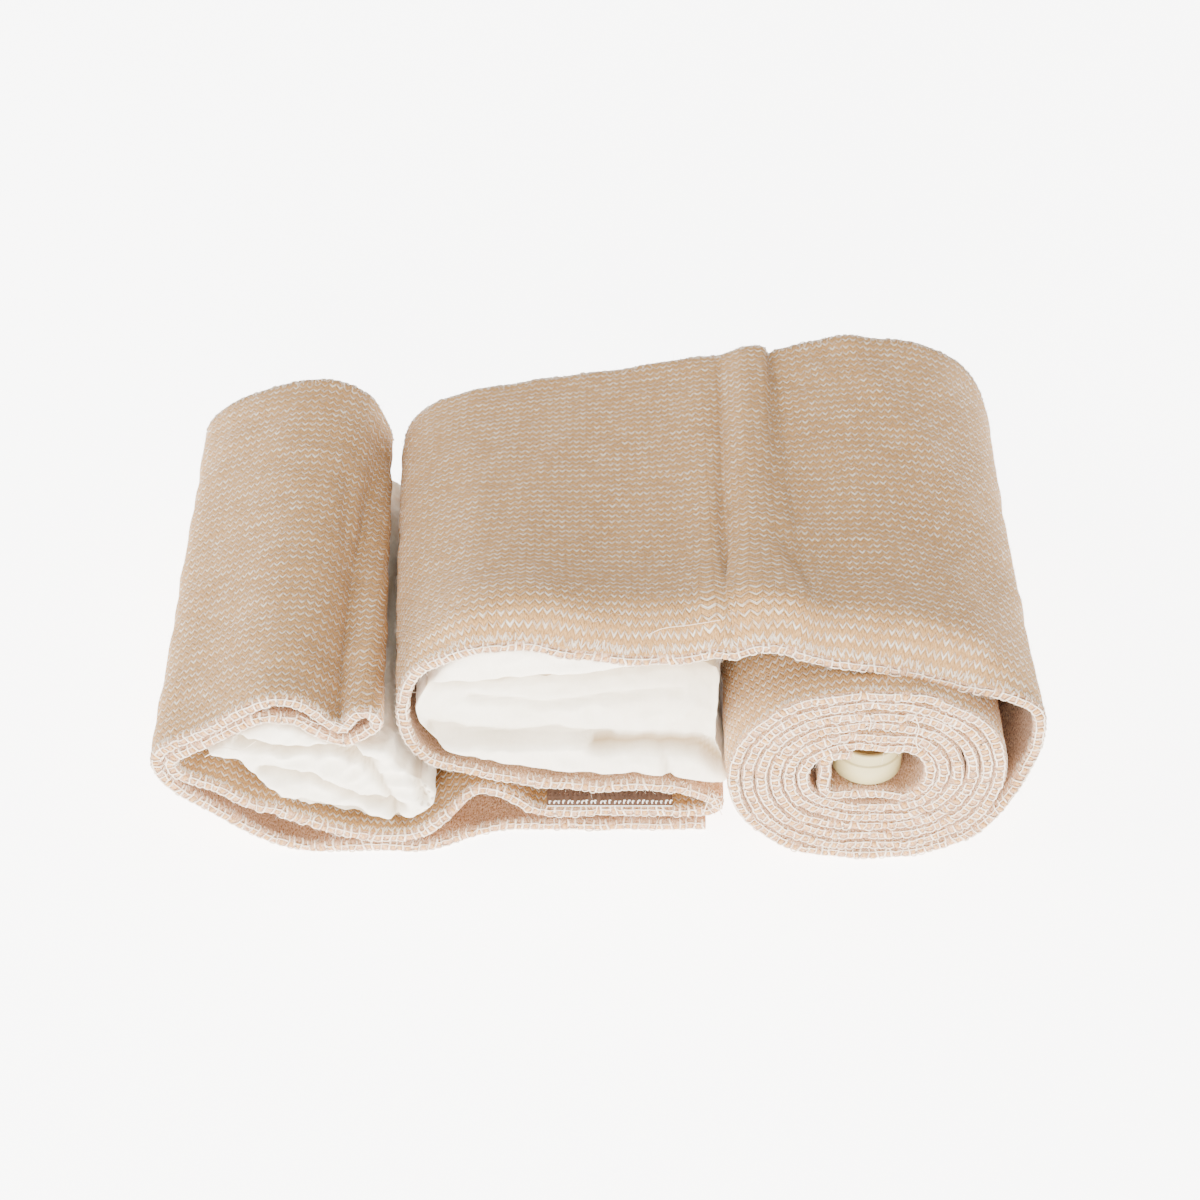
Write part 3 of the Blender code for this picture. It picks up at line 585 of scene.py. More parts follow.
def seen_on(u, v, y):
    """Place on a plane across Y that the photograph shows at a pixel."""
    ray = seen(u, v)
    return np.array(CAMERA_AT) + ray * (y - CAMERA_AT[1]) / ray[1]


def off_line(points, line):
    """Distance of points in a plane from a run of straight stretches."""
    out = np.full(points.shape[:-1], 1.0)
    for a, b in zip(line, line[1:]):
        ahead = b - a
        share = np.clip(((points - a) @ ahead) / (ahead @ ahead), 0, 1)
        out = np.minimum(out, np.linalg.norm(points - a - share[..., None] * ahead, axis=-1))
    return out


def rising(at, low, high):
    """Smooth step from 0 to 1."""
    t = np.clip((at - low) / (high - low), 0, 1)
    return t * t * (3 - 2 * t)


def relief(middle, at):
    """How far the cloth stands out from its even run, for the folds and creases pressed into it."""
    rows = [KNOTS[ROW_TOP + 8], KNOTS[ROW_TOP + 18], KNOTS[ROW_WRAP + 6], KNOTS[ROW_WRAP + 12]]
    along = rising(at, rows[0], rows[1]) * (1 - rising(at, rows[2], rows[3]))
    crest = (SHARES / CREST_AT * np.exp(1 - SHARES / CREST_AT)) ** CREST_SHARP
    out = along[:, None] * (CREST * crest - CREST_EDGE * np.exp(-SHARES / CREST_EDGE_AT))
    x, y = middle[..., 0], middle[..., 1]
    for a, b, start, c, d in RUMPLES:
        out += RUMPLE * np.sin(a * x + b * y + start) * np.sin(c * x + d * y)
    top = rising(at, rows[0], rows[0] + 0.004) * (1 - rising(at, rows[3] - 0.004, rows[3]))
    left = rising(at, KNOTS[ROW_LEFT + 14], KNOTS[ROW_LEFT + 16]) * (at < KNOTS[ROW_LOOP])
    for stands, width, height, line in CREASES:
        points = np.array([seen_at(u, v, height)[:2] for u, v in line])
        out += stands * (top + left)[:, None] * np.exp(-(off_line(middle[..., :2], points) / width) ** 2)
    return out


def mesh_piece(name, verts, quads, materials, smooth=True, slots=None, uv=None, uv_name="Knit"):
    """Object from arrays of vertices and of quads, with one slot number and one uv to a corner."""
    mesh = bpy.data.meshes.new(name)
    verts, quads = np.asarray(verts, dtype=np.float32), np.asarray(quads, dtype=np.int32)
    mesh.vertices.add(len(verts))
    mesh.vertices.foreach_set("co", verts.ravel())
    mesh.loops.add(quads.size)
    mesh.loops.foreach_set("vertex_index", quads.ravel())
    mesh.polygons.add(len(quads))
    mesh.polygons.foreach_set("loop_start", np.arange(0, quads.size, 4, dtype=np.int32))
    for material in materials:
        mesh.materials.append(material)
    if slots is not None:
        mesh.polygons.foreach_set("material_index", np.asarray(slots, dtype=np.int32))
    if uv is not None:
        layer = mesh.uv_layers.new(name=uv_name)
        layer.data.foreach_set("uv", np.asarray(uv, dtype=np.float32).ravel())
    mesh.polygons.foreach_set("use_smooth", np.full(len(quads), smooth))
    mesh.update(calc_edges=True)
    mesh.validate()
    piece = bpy.data.objects.new(name, mesh)
    bpy.context.scene.collection.objects.link(piece)
    return piece


def tubes(lines, radius, sides=4, taper=False):
    """Vertices and quads of round threads; lines is (threads, points, 3)."""
    lines = np.asarray(lines, dtype=float)
    threads, points = lines.shape[:2]
    ahead = np.empty_like(lines)
    ahead[:, 1:-1] = lines[:, 2:] - lines[:, :-2]
    ahead[:, 0], ahead[:, -1] = lines[:, 1] - lines[:, 0], lines[:, -1] - lines[:, -2]
    ahead /= np.linalg.norm(ahead, axis=2, keepdims=True) + 1e-12
    up = np.where(np.abs(ahead[:, :1, 2:3]) > 0.8, np.array([1.0, 0, 0]), np.array([0, 0, 1.0]))
    across = np.cross(ahead, np.broadcast_to(up, ahead.shape))
    across /= np.linalg.norm(across, axis=2, keepdims=True) + 1e-12
    other = np.cross(ahead, across)
    size = np.broadcast_to(np.asarray(radius, dtype=float).reshape(-1, 1), (threads, points)).copy()
    if taper:
        size *= np.linspace(1, 0.25, points)
    angles = 2 * math.pi * np.arange(sides) / sides
    ring = (across[:, :, None] * np.cos(angles)[:, None] + other[:, :, None] * np.sin(angles)[:, None])
    verts = lines[:, :, None] + ring * size[:, :, None, None]
    t, p, s = np.meshgrid(np.arange(threads), np.arange(points - 1), np.arange(sides), indexing="ij")
    a = (t * points + p) * sides + s
    b = (t * points + p) * sides + (s + 1) % sides
    quads = np.stack([a, b, b + sides, a + sides], axis=-1).reshape(-1, 4)
    return verts.reshape(-1, 3), quads


def joined(parts):
    """One set of vertices, quads and slot numbers from several (verts, quads, slot)."""
    verts, quads, slots, first = [], [], [], 0
    for points, faces, slot in parts:
        verts.append(points)
        quads.append(faces + first)
        slots.append(np.full(len(faces), slot))
        first += len(points)
    return np.concatenate(verts), np.concatenate(quads), np.concatenate(slots)


class Graph:
    """Shader nodes of one material, with short calls for the ones used here."""

    def __init__(self, name, roughness=0.9):
        self.material = bpy.data.materials.new(name)
        self.material.use_nodes = True
        self.tree = self.material.node_tree
        self.shader = self.tree.nodes["Principled BSDF"]
        self.shader.inputs["Roughness"].default_value = roughness

    def feed(self, value, socket):
        if isinstance(value, bpy.types.NodeSocket):
            self.tree.links.new(value, socket)
        else:
            socket.default_value = value

    def math(self, operation, *values):
        node = self.tree.nodes.new("ShaderNodeMath")
        node.operation = operation
        for value, socket in zip(values, node.inputs):
            self.feed(value, socket)
        return node.outputs[0]

    def total(self, *values):
        out = values[0]
        for value in values[1:]:
            out = self.math("ADD", out, value)
        return out

    def product(self, *values):
        out = values[0]
        for value in values[1:]:
            out = self.math("MULTIPLY", out, value)
        return out

    def ramp(self, value, low, high, to_low=0.0, to_high=1.0):
        node = self.tree.nodes.new("ShaderNodeMapRange")
        node.interpolation_type = "SMOOTHSTEP"
        for socket, number in zip(node.inputs, (value, low, high, to_low, to_high)):
            self.feed(number, socket)
        return node.outputs[0]

    def vector(self, x, y, z=0.0):
        node = self.tree.nodes.new("ShaderNodeCombineXYZ")
        for socket, value in zip(node.inputs, (x, y, z)):
            self.feed(value, socket)
        return node.outputs[0]

    def uv(self, name):
        node = self.tree.nodes.new("ShaderNodeUVMap")
        node.uv_map = name
        parts = self.tree.nodes.new("ShaderNodeSeparateXYZ")
        self.tree.links.new(node.outputs[0], parts.inputs[0])
        return parts.outputs[0], parts.outputs[1]

    def place(self):
        return self.tree.nodes.new("ShaderNodeTexCoord").outputs["Object"]

    def noise(self, where, scale, detail=2.0, rough=0.5, stretch=None):
        if stretch:
            mapping = self.tree.nodes.new("ShaderNodeMapping")
            mapping.inputs["Scale"].default_value = stretch
            self.tree.links.new(where, mapping.inputs["Vector"])
            where = mapping.outputs[0]
        node = self.tree.nodes.new("ShaderNodeTexNoise")
        node.inputs["Scale"].default_value = scale
        node.inputs["Detail"].default_value = detail
        node.inputs["Roughness"].default_value = rough
        self.tree.links.new(where, node.inputs["Vector"])
        return node.outputs["Fac"]

    def chance(self, *values):
        node = self.tree.nodes.new("ShaderNodeTexWhiteNoise")
        node.noise_dimensions = "3D"
        self.tree.links.new(self.vector(*values), node.inputs["Vector"])
        return node.outputs["Value"]

    def mix(self, share, a, b):
        node = self.tree.nodes.new("ShaderNodeMix")
        node.data_type = "RGBA"
        for name, value in (("Factor_Float", share), ("A_Color", a), ("B_Color", b)):
            socket = next(s for s in node.inputs if s.identifier == name)
            self.feed((*value, 1.0) if isinstance(value, tuple) and len(value) == 3 else value, socket)
        return next(s for s in node.outputs if s.identifier == "Result_Color")

    def bump(self, height, distance, strength):
        node = self.tree.nodes.new("ShaderNodeBump")
        node.inputs["Strength"].default_value = strength
        node.inputs["Distance"].default_value = distance
        self.feed(height, node.inputs["Height"])
        self.tree.links.new(node.outputs[0], self.shader.inputs["Normal"])

    def paint(self, colour):
        self.feed((*colour, 1.0) if isinstance(colour, tuple) else colour, self.shader.inputs["Base Color"])

    def set(self, **values):
        for name, value in values.items():
            self.shader.inputs[name.replace("_", " ")].default_value = value


def knit_face():
    """Outer face of the knit: white ticks in zigzag rows on a fluffy tan ground, with painted shade in the
    ground beside each row of ticks.
    """
    g = Graph("elastic_knit_face", 0.92)
    u, w = g.uv("Knit")
    flat = g.vector(u, w)
    u = g.total(u, g.product(g.math("SUBTRACT", g.noise(flat, 0.10, 1.0), 0.5), 0.7))
    w = g.total(w, g.product(g.math("SUBTRACT", g.noise(g.vector(w, u), 0.16, 2.0), 0.5), 0.7))
    stitch, row = g.math("FLOOR", u), g.math("FLOOR", w)
    in_stitch, in_row = g.math("FRACT", u), g.math("FRACT", w)
    luck, more = g.chance(stitch, row, 1.0), g.chance(stitch, row, 2.0)
    rise = g.math("ABSOLUTE", g.math("SUBTRACT", g.product(in_stitch, 2.0), 1.0))
    height = g.total(g.product(g.math("POWER", rise, 1.15), 0.50), 0.22,
                     g.product(g.math("SUBTRACT", luck, 0.5), 0.14))
    away = g.math("ABSOLUTE", g.math("SUBTRACT", in_row, height))
    thick = g.total(0.100, g.product(more, 0.065))
    tick = g.ramp(g.math("DIVIDE", away, thick), 1.55, 0.45)
    patchy = g.ramp(g.noise(flat, 0.9, 2.0), 0.32, 0.58, 0.25, 1.0)
    bright = g.product(tick, g.total(0.60, g.product(luck, 0.40)), patchy,
                       g.math("SUBTRACT", 1.0, g.product(g.math("POWER", rise, 5.0), 0.85)))
    lane = g.math("FRACT", g.total(g.math("SUBTRACT", in_row, height), 1.0))
    puff = g.math("SINE", g.product(lane, math.pi))
    fibres = g.noise(flat, 1.0, 4.0, 0.65, stretch=(9.0, 3.2, 1.0))
    clouds = g.noise(flat, 0.12, 2.0)
    ground = g.mix(g.ramp(fibres, 0.32, 0.68), (0.31, 0.125, 0.032), (0.76, 0.45, 0.18))
    # painted shade: the ground darkens towards deep brown beside each row of ticks, away from the middle of
    # its puff
    ground = g.mix(g.product(g.math("SUBTRACT", 1.0, puff), 0.45), ground, (0.20, 0.075, 0.018))
    ground = g.mix(g.product(clouds, 0.22), ground, (0.80, 0.52, 0.25))
    g.paint(g.mix(bright, ground, (1.0, 0.92, 0.79)))
    g.bump(g.total(g.product(puff, 0.60), g.product(tick, 0.50), g.product(fibres, 0.45)), 0.0006, 0.9)
    g.set(Sheen_Weight=0.12, Sheen_Roughness=0.5, Specular_IOR_Level=0.12)
    return g.material


def knit_inside():
    """Inner face of the knit: pale pinkish fleece."""
    g = Graph("elastic_knit_inside", 0.95)
    u, w = g.uv("Knit")
    flat = g.vector(u, w)
    fleece = g.noise(flat, 1.0, 4.0, 0.7, stretch=(4.0, 3.0, 1.0))
    g.paint(g.mix(g.ramp(fleece, 0.3, 0.7), (0.30, 0.13, 0.05), (0.78, 0.52, 0.34)))
    g.bump(fleece, 0.0005, 0.8)
    g.set(Sheen_Weight=0.12, Sheen_Roughness=0.5, Specular_IOR_Level=0.1)
    return g.material


def bead_yarn():
    """Tan yarn of the beads between the white rungs."""
    g = Graph("bead_yarn", 0.92)
    where = g.place()
    fibres = g.noise(where, 2600.0, 3.0, 0.6)
    clumps = g.noise(where, 420.0, 1.0)
    g.paint(g.mix(g.total(g.product(fibres, 0.6), g.product(clumps, 0.4)), (0.32, 0.14, 0.04),
                  (0.80, 0.48, 0.20)))
    g.bump(fibres, 0.00015, 0.8)
    g.set(Sheen_Weight=0.1, Sheen_Roughness=0.6, Specular_IOR_Level=0.12)
    return g.material


def white_yarn():
    """White crimped yarn of the ticks and selvedge."""
    g = Graph("white_yarn", 0.85)
    fibres = g.noise(g.place(), 3200.0, 2.0, 0.6)
    g.paint(g.mix(fibres, (0.66, 0.48, 0.33), (1.0, 0.92, 0.80)))
    g.bump(fibres, 0.00006, 0.5)
    g.set(Sheen_Weight=0.1, Sheen_Roughness=0.5, Specular_IOR_Level=0.15)
    return g.material


def fibre_stuff(name, low, high):
    """Single pale fibres."""
    g = Graph(name, 0.8)
    g.paint(g.mix(g.noise(g.place(), 900.0, 1.0), low, high))
    g.set(Sheen_Weight=0.2, Specular_IOR_Level=0.2)
    return g.material


def wadding(node, holes):
    """Off-white wadding of the pads, darkened by painted shade from the shade attribute; holes is the
    strength of the perforated film's small holes.
    """
    g = Graph(node + "_wadding", 0.95)
    where = g.place()
    parts = g.tree.nodes.new("ShaderNodeSeparateXYZ")
    g.feed(where, parts.inputs[0])
    nap = g.noise(where, 900.0, 4.0, 0.65, stretch=(1.0, 1.0, 0.45))
    lumps = g.noise(where, 150.0, 3.0)
    tone = g.total(g.product(nap, 0.55), g.product(lumps, 0.45))
    colour = g.mix(tone, (0.80, 0.71, 0.56), (0.99, 0.95, 0.85))
    rows = g.math("DIVIDE", parts.outputs[2], HOLE_PITCH)
    shift = g.product(g.math("MODULO", g.math("FLOOR", rows), 2.0), 0.5)
    sideways = g.math("SUBTRACT", g.math("FRACT", g.total(g.math("DIVIDE", parts.outputs[0], HOLE_PITCH),
                                                          shift, 100.0)), 0.5)
    upright = g.math("SUBTRACT", g.math("FRACT", rows), 0.5)
    away = g.math("SQRT", g.total(g.product(sideways, sideways), g.product(upright, upright)))
    film = g.product(g.ramp(parts.outputs[0], *FILM_FROM), holes)
    pit = g.product(g.ramp(away, 0.30, 0.16), film)
    # painted shade: the pad's shade attribute darkens the wadding towards brown in pressed lines and under
    # the upper leaf
    painted_shade = g.tree.nodes.new("ShaderNodeAttribute")
    painted_shade.attribute_name = "shade"
    colour = g.mix(g.product(painted_shade.outputs["Fac"], 0.95), colour, (0.36, 0.25, 0.13))
    g.paint(g.mix(g.product(pit, 0.75), colour, (0.42, 0.30, 0.20)))
    g.bump(g.total(g.product(nap, 0.4), g.product(lumps, 0.7), g.product(pit, -0.8)), 0.0006, 0.5)
    g.set(Sheen_Weight=0.25, Sheen_Roughness=0.5, Specular_IOR_Level=0.15)
    return g.material


def tape_plastic(name, low, high):
    """Woven tape and its plastic hooks."""
    g = Graph(name, 0.45)
    weave = g.noise(g.place(), 2400.0, 2.0, 0.5, stretch=(1.0, 0.3, 1.0))
    g.paint(g.mix(weave, low, high))
    g.bump(weave, 0.00008, 0.5)
    g.set(Specular_IOR_Level=0.4)
    return g.material


def bar_plastic():
    """Satin moulded plastic, pale olive beige."""
    g = Graph("closure_plastic", 0.42)
    where = g.place()
    flow = g.noise(where, 60.0, 3.0, 0.5, stretch=(1.0, 0.2, 1.0))
    grain = g.noise(where, 3000.0, 2.0, 0.6)
    g.paint(g.mix(flow, (0.44, 0.37, 0.17), (0.55, 0.47, 0.24)))
    g.feed(g.ramp(grain, 0.2, 0.8, 0.36, 0.52), g.shader.inputs["Roughness"])
    g.bump(grain, 0.00002, 0.5)
    g.set(Specular_IOR_Level=0.45)
    return g.material


def plain(name, colour, glow):
    """Pale studio surface."""
    g = Graph(name, 0.9)
    g.paint(g.mix(g.noise(g.place(), 3.0, 1.0), tuple(0.99 * c for c in colour), colour))
    g.set(Specular_IOR_Level=0.0, Emission_Color=(1.0, 1.0, 1.0, 1.0), Emission_Strength=glow)
    return g.material


def studio():
    """Camera, soft lights, world and the pale floor."""
    scene = bpy.context.scene
    camera = bpy.data.objects.new("camera", bpy.data.cameras.new("camera"))
    camera.location = CAMERA_AT
    camera.rotation_euler = (math.radians(90 - CAMERA_DOWN), 0, 0)
    camera.data.lens = CAMERA_LENS
    camera.data.sensor_width = SENSOR
    camera.data.clip_start = 0.01
    scene.collection.objects.link(camera)
    scene.camera = camera

    world = bpy.data.worlds.new("studio")
    world.use_nodes = True
    world.node_tree.nodes["Background"].inputs["Color"].default_value = WORLD
    world.node_tree.nodes["Background"].inputs["Strength"].default_value = 1.0
    scene.world = world

    for name, place, size, power, colour in LIGHTS:
        lamp = bpy.data.lights.new(name, "AREA")
        lamp.size = size
        lamp.energy = power
        lamp.color = colour
        holder = bpy.data.objects.new(name, lamp)
        holder.location = place
        holder.rotation_euler = (Vector(AIM) - Vector(place)).to_track_quat("-Z", "Y").to_euler()
        scene.collection.objects.link(holder)

    verts = [(x * FLOOR_HALF, y * FLOOR_HALF, 0.0) for x, y in ((-1, -1), (1, -1), (1, 1), (-1, 1))]
    floor = mesh_piece("floor", verts, [(0, 1, 2, 3)], [plain("floor_paint", FLOOR_PAINT, FLOOR_GLOW)],
                       smooth=False)


def strip_piece():
    """The knit strip with its thickness, a rounded wall at both edges and stitches counted in its uv."""
    middle, _, inside = lie(ALONG)
    rows, columns = middle.shape[:2]
    inner, outer = middle + inside * CLOTH / 2, middle - inside * CLOTH / 2
    front = middle[:, 0] + np.array([0, -WALL, 0])
    back = middle[:, -1] + np.array([0, WALL, 0])
    verts = np.concatenate([inner.reshape(-1, 3), outer.reshape(-1, 3), front, back])
    lift = rows * columns
    i, j = np.meshgrid(np.arange(rows - 1), np.arange(columns - 1), indexing="ij")
    a = (i * columns + j).ravel()
    b, c, d = a + 1, a + columns + 1, a + columns
    inner_quads = np.stack([a, b, c, d], axis=1)
    outer_quads = np.stack([a, d, c, b], axis=1) + lift
    r = np.arange(rows - 1)
    fa, fb = r * columns, (r + 1) * columns
    ba, bb = fa + columns - 1, fb + columns - 1
    ma, mb = 2 * lift + r, 2 * lift + r + 1
    na, nb = ma + rows, mb + rows
    walls = np.concatenate([
        np.stack([fa, fb, mb, ma], axis=1), np.stack([ma, mb, fb + lift, fa + lift], axis=1),
        np.stack([ba, na, nb, bb], axis=1), np.stack([na, ba + lift, bb + lift, nb], axis=1)])
    k = np.arange(columns - 1)
    last = (rows - 1) * columns + k
    ends = np.concatenate([np.stack([k, k + lift, k + 1 + lift, k + 1], axis=1),
                           np.stack([last, last + 1, last + 1 + lift, last + lift], axis=1)])
    quads = np.concatenate([inner_quads, outer_quads, walls, ends])
    slots = np.concatenate([np.full(len(inner_quads), 1), np.full(len(outer_quads), 0),
                            np.full(len(walls) + len(ends), 1)])
    along = np.repeat(ALONG[:, None] / STITCH, columns, axis=1)
    across = np.repeat(SHARES[None, :] * WIDTH * 0.92 / ROW, rows, axis=0)
    flat = np.stack([along, across], axis=-1).reshape(-1, 2)
    edge_f = np.stack([ALONG / STITCH, np.full(rows, -0.5)], axis=1)
    edge_b = np.stack([ALONG / STITCH, np.full(rows, WIDTH / ROW + 0.5)], axis=1)
    per_vert = np.concatenate([flat, flat, edge_f, edge_b])
    piece = mesh_piece("bandage", verts, quads, [knit_face(), knit_inside()], slots=slots,
                       uv=per_vert[quads.ravel()])
    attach(piece, "root")
    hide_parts("elastic_bandage")
    return piece


def yarn_piece(name, parts, materials):
    """Piece of the elastic strip made of threads."""
    verts, quads, slots = joined(parts)
    piece = mesh_piece(name, verts, quads, materials, slots=slots)
    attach(piece, "root")
    return piece


def edge_line(at, column):
    """Edge of the strip: its place, the run's direction, the way out and the inner side."""
    middle, tangent, inside = lie(at)
    out = np.array([0.0, -1.0 if column == 0 else 1.0, 0.0])
    return middle[:, column], tangent[:, column], np.broadcast_to(out, (len(at), 3)), inside[:, column]


def selvedge(name, column, materials):
    """Beads of tan yarn between short white threads, with white loops over and under the beads."""
    count = int(LENGTH / BEAD) - 1
    source = np.random.default_rng(11 + column)
    posts = (np.arange(count + 1) + 0.5 + source.uniform(-0.2, 0.2, count + 1)) * BEAD
    beads = (posts[1:] + posts[:-1]) / 2
    parts = []

    # beads
    place, along, out, inside = edge_line(beads, column)
    turn = 2 * math.pi * np.arange(6) / 6
    rise = np.array([-1.0, -0.5, 0.5, 1.0]) * math.pi / 2 * 0.98
    ring = np.stack([np.cos(rise)[:, None] * np.cos(turn), np.cos(rise)[:, None] * np.sin(turn),
                     np.repeat(np.sin(rise)[:, None], 6, axis=1)], axis=-1)
    size = source.uniform(0.75, 1.2, (count, 1, 1, 1))
    off = inside * source.uniform(-0.00022, 0.00022, (count, 1))
    ball = (place + off + out * source.uniform(0.0, 0.0004, (count, 1)))[:, None, None] + size * (
        ring[None, ..., 0:1] * along[:, None, None] * BEAD_HALF[0]
        + ring[None, ..., 1:2] * out[:, None, None] * BEAD_HALF[1]
        + ring[None, ..., 2:3] * inside[:, None, None] * BEAD_HALF[2])
    n, p, s = np.meshgrid(np.arange(count), np.arange(3), np.arange(6), indexing="ij")
    a = (n * 4 + p) * 6 + s
    b = (n * 4 + p) * 6 + (s + 1) % 6
    parts.append((ball.reshape(-1, 3), np.stack([a, b, b + 6, a + 6], axis=-1).reshape(-1, 4), 0))

    # short white threads, which curl in over both faces by uneven lengths
    place, along, out, inside = edge_line(posts, column)
    number = count + 1
    up = np.array([-1.0, -1.0, -0.80, -0.35, 0.35, 0.80, 1.0, 1.0]) * CLOTH / 2
    reach = np.tile(np.array([0.0, -0.0001, 0.00022, 0.00046, 0.00046, 0.00022, -0.0001, 0.0]), (number, 1))
    reach[:, 0] = -source.uniform(0.0002, 0.0011, number)
    reach[:, -1] = -source.uniform(0.0002, 0.0008, number)
    wound = posts > KNOTS[ROW_ROLL]
    reach[wound, :2] = reach[wound, -2:] = 0.0001
    up = np.where(wound[:, None], 0.80, 1.0) * up
    drift = source.uniform(-0.00045, 0.00045, (number, 1)) * up / CLOTH * 2
    drift = drift + source.uniform(-0.00012, 0.00012, (number, 8))
    lines = (place[:, None] + inside[:, None] * up[..., None] + out[:, None] * reach[..., None]
             + along[:, None] * drift[..., None])
    verts, quads = tubes(lines, RUNG_R * source.uniform(0.5, 1.15, number))
    parts.append((verts, quads, 1))

    # loops from one thread to the next
    for side in (-1, 1):
        keep = source.random(count) < LOOP_CHANCE
        ends = place[:, None] + inside[:, None] * side * LOOP_ENDS
        bulge = edge_line(beads, column)
        mid = bulge[0] + bulge[3] * side * source.uniform(0.00062, 0.00092, (count, 1)) + bulge[2] * (
            source.uniform(0.00035, 0.00065, (count, 1)))
        sway = along[:-1] * 0.0003
        lines = np.stack([ends[:-1, 0] + out[:-1] * 0.0003, mid - sway, mid + sway,
                          ends[1:, 0] + out[1:] * 0.0003], axis=1)[keep]
        verts, quads = tubes(lines, THREAD_R * source.uniform(0.7, 1.2, len(lines)))
        parts.append((verts, quads, 1))
    return yarn_piece(name, parts, materials)


def edge_stitches(materials):
    """Dense short white stitches on the faces beside both edges."""
    source = np.random.default_rng(31)
    parts = []
    for column, beside, face, count in ((0, 1, -1, 2600), (0, 1, 1, 1500), (COLUMNS - 1, -1, -1, 1800)):
        at = np.sort(source.uniform(0, LENGTH - 0.001, count))
        middle, tangent, inside = lie(at)
        skin = middle + inside * face * (CLOTH / 2 + 0.00005)
        edge, deeper = skin[:, column], skin[:, column + beside]
        first = source.uniform(0.0, 0.5, (count, 1))
        length = source.uniform(0.35, 0.95, (count, 1))
        drift = source.uniform(-0.00045, 0.00045, (count, 1))
        line = np.stack([edge + (deeper - edge) * (first + length * t) + tangent[:, column] * drift * t
                         for t in (0.0, 0.5, 1.0)], axis=1)
        verts, quads = tubes(line, TICK_R * source.uniform(0.6, 1.3, count), sides=3)
        parts.append((verts, quads, 0))
    return yarn_piece("edge_stitches", parts, materials)


def loose_threads(materials):
    """Threads that have come loose at the front."""
    lines = []
    for y, pixels in LOOSE:
        points = [list(seen_on(u, v, y * WIDTH)) for u, v in pixels]
        run = np.array(spline(points, 4))
        share = np.linspace(0, 1, 17)
        lines.append(cubic(np.linspace(0, 1, len(run)), run, share))
    verts, quads = tubes(np.array(lines), LOOSE_R)
    return yarn_piece("loose_threads", [(verts, quads, 0)], materials)


def hairs(root, length, ahead, bend):
    """Tapered fibres from their roots, straight ahead at first and bending off further out."""
    line = np.stack([root + length * (ahead * t + bend * t * t) for t in (0.0, 0.35, 0.7, 1.0)], axis=1)
    verts, quads = tubes(line, FUZZ_R, sides=3, taper=True)
    return verts, quads, 0


def fuzz(materials):
    """Short fibres standing off the outer face and the edges of the knit."""
    parts = []
    source = np.random.default_rng(23)
    spans = ((KNOTS[ROW_LEFT], KNOTS[ROW_INNER], 1500), (KNOTS[ROW_TOP], KNOTS[ROW_ROLL], 3000))
    for first, last, count in spans:
        at = np.sort(source.uniform(first, last, count))
        middle, tangent, inside = lie(at)
        column = source.integers(0, COLUMNS, count)
        pick = (np.arange(count), column)
        root = middle[pick] - inside[pick] * CLOTH / 2
        up = -inside[pick]
        side = tangent[pick] * source.normal(0, 1, (count, 1)) + np.array([0, 1, 0]) * source.normal(
            0, 1, (count, 1))
        side /= np.linalg.norm(side, axis=1, keepdims=True)
        length = source.uniform(0.0006, 0.0018, (count, 1))
        bend = source.normal(0, 0.5, (count, 3))
        parts.append(hairs(root, length, up * 0.45 + side * 0.8, bend * 0.35))
    for column in (0, COLUMNS - 1):
        count = 2200
        at = np.sort(source.uniform(0, LENGTH - 0.001, count))
        place, along, out, inside = edge_line(at, column)
        root = place + out * 0.0003 + inside * source.uniform(-1, 1, (count, 1)) * CLOTH / 2
        aim = out * 0.7 + inside * source.normal(0, 0.5, (count, 1)) + along * source.normal(
            0, 0.6, (count, 1))
        length = source.uniform(0.0005, 0.0016, (count, 1))
        bend = source.normal(0, 0.4, (count, 3))
        parts.append(hairs(root, length, aim, bend * 0.4))
    return yarn_piece("fuzz", parts, materials)


def settled(piece):
    """Applies a piece's modifiers."""
    graph = bpy.context.evaluated_depsgraph_get()
    mesh = bpy.data.meshes.new_from_object(piece.evaluated_get(graph))
    piece.modifiers.clear()
    piece.data = mesh


def pad_piece(name, node, voxel):
    """Pad from its solid, remeshed evenly and smoothed."""
    piece = bpy.data.objects.new(name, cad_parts[node].data.copy())
    bpy.context.scene.collection.objects.link(piece)
    piece.data.materials.clear()
    remesh = piece.modifiers.new("remesh", "REMESH")
    remesh.mode = "VOXEL"
    remesh.voxel_size = voxel
    smooth = piece.modifiers.new("smooth", "SMOOTH")
    smooth.factor = 0.5
    smooth.iterations = 5
    settled(piece)
    return piece


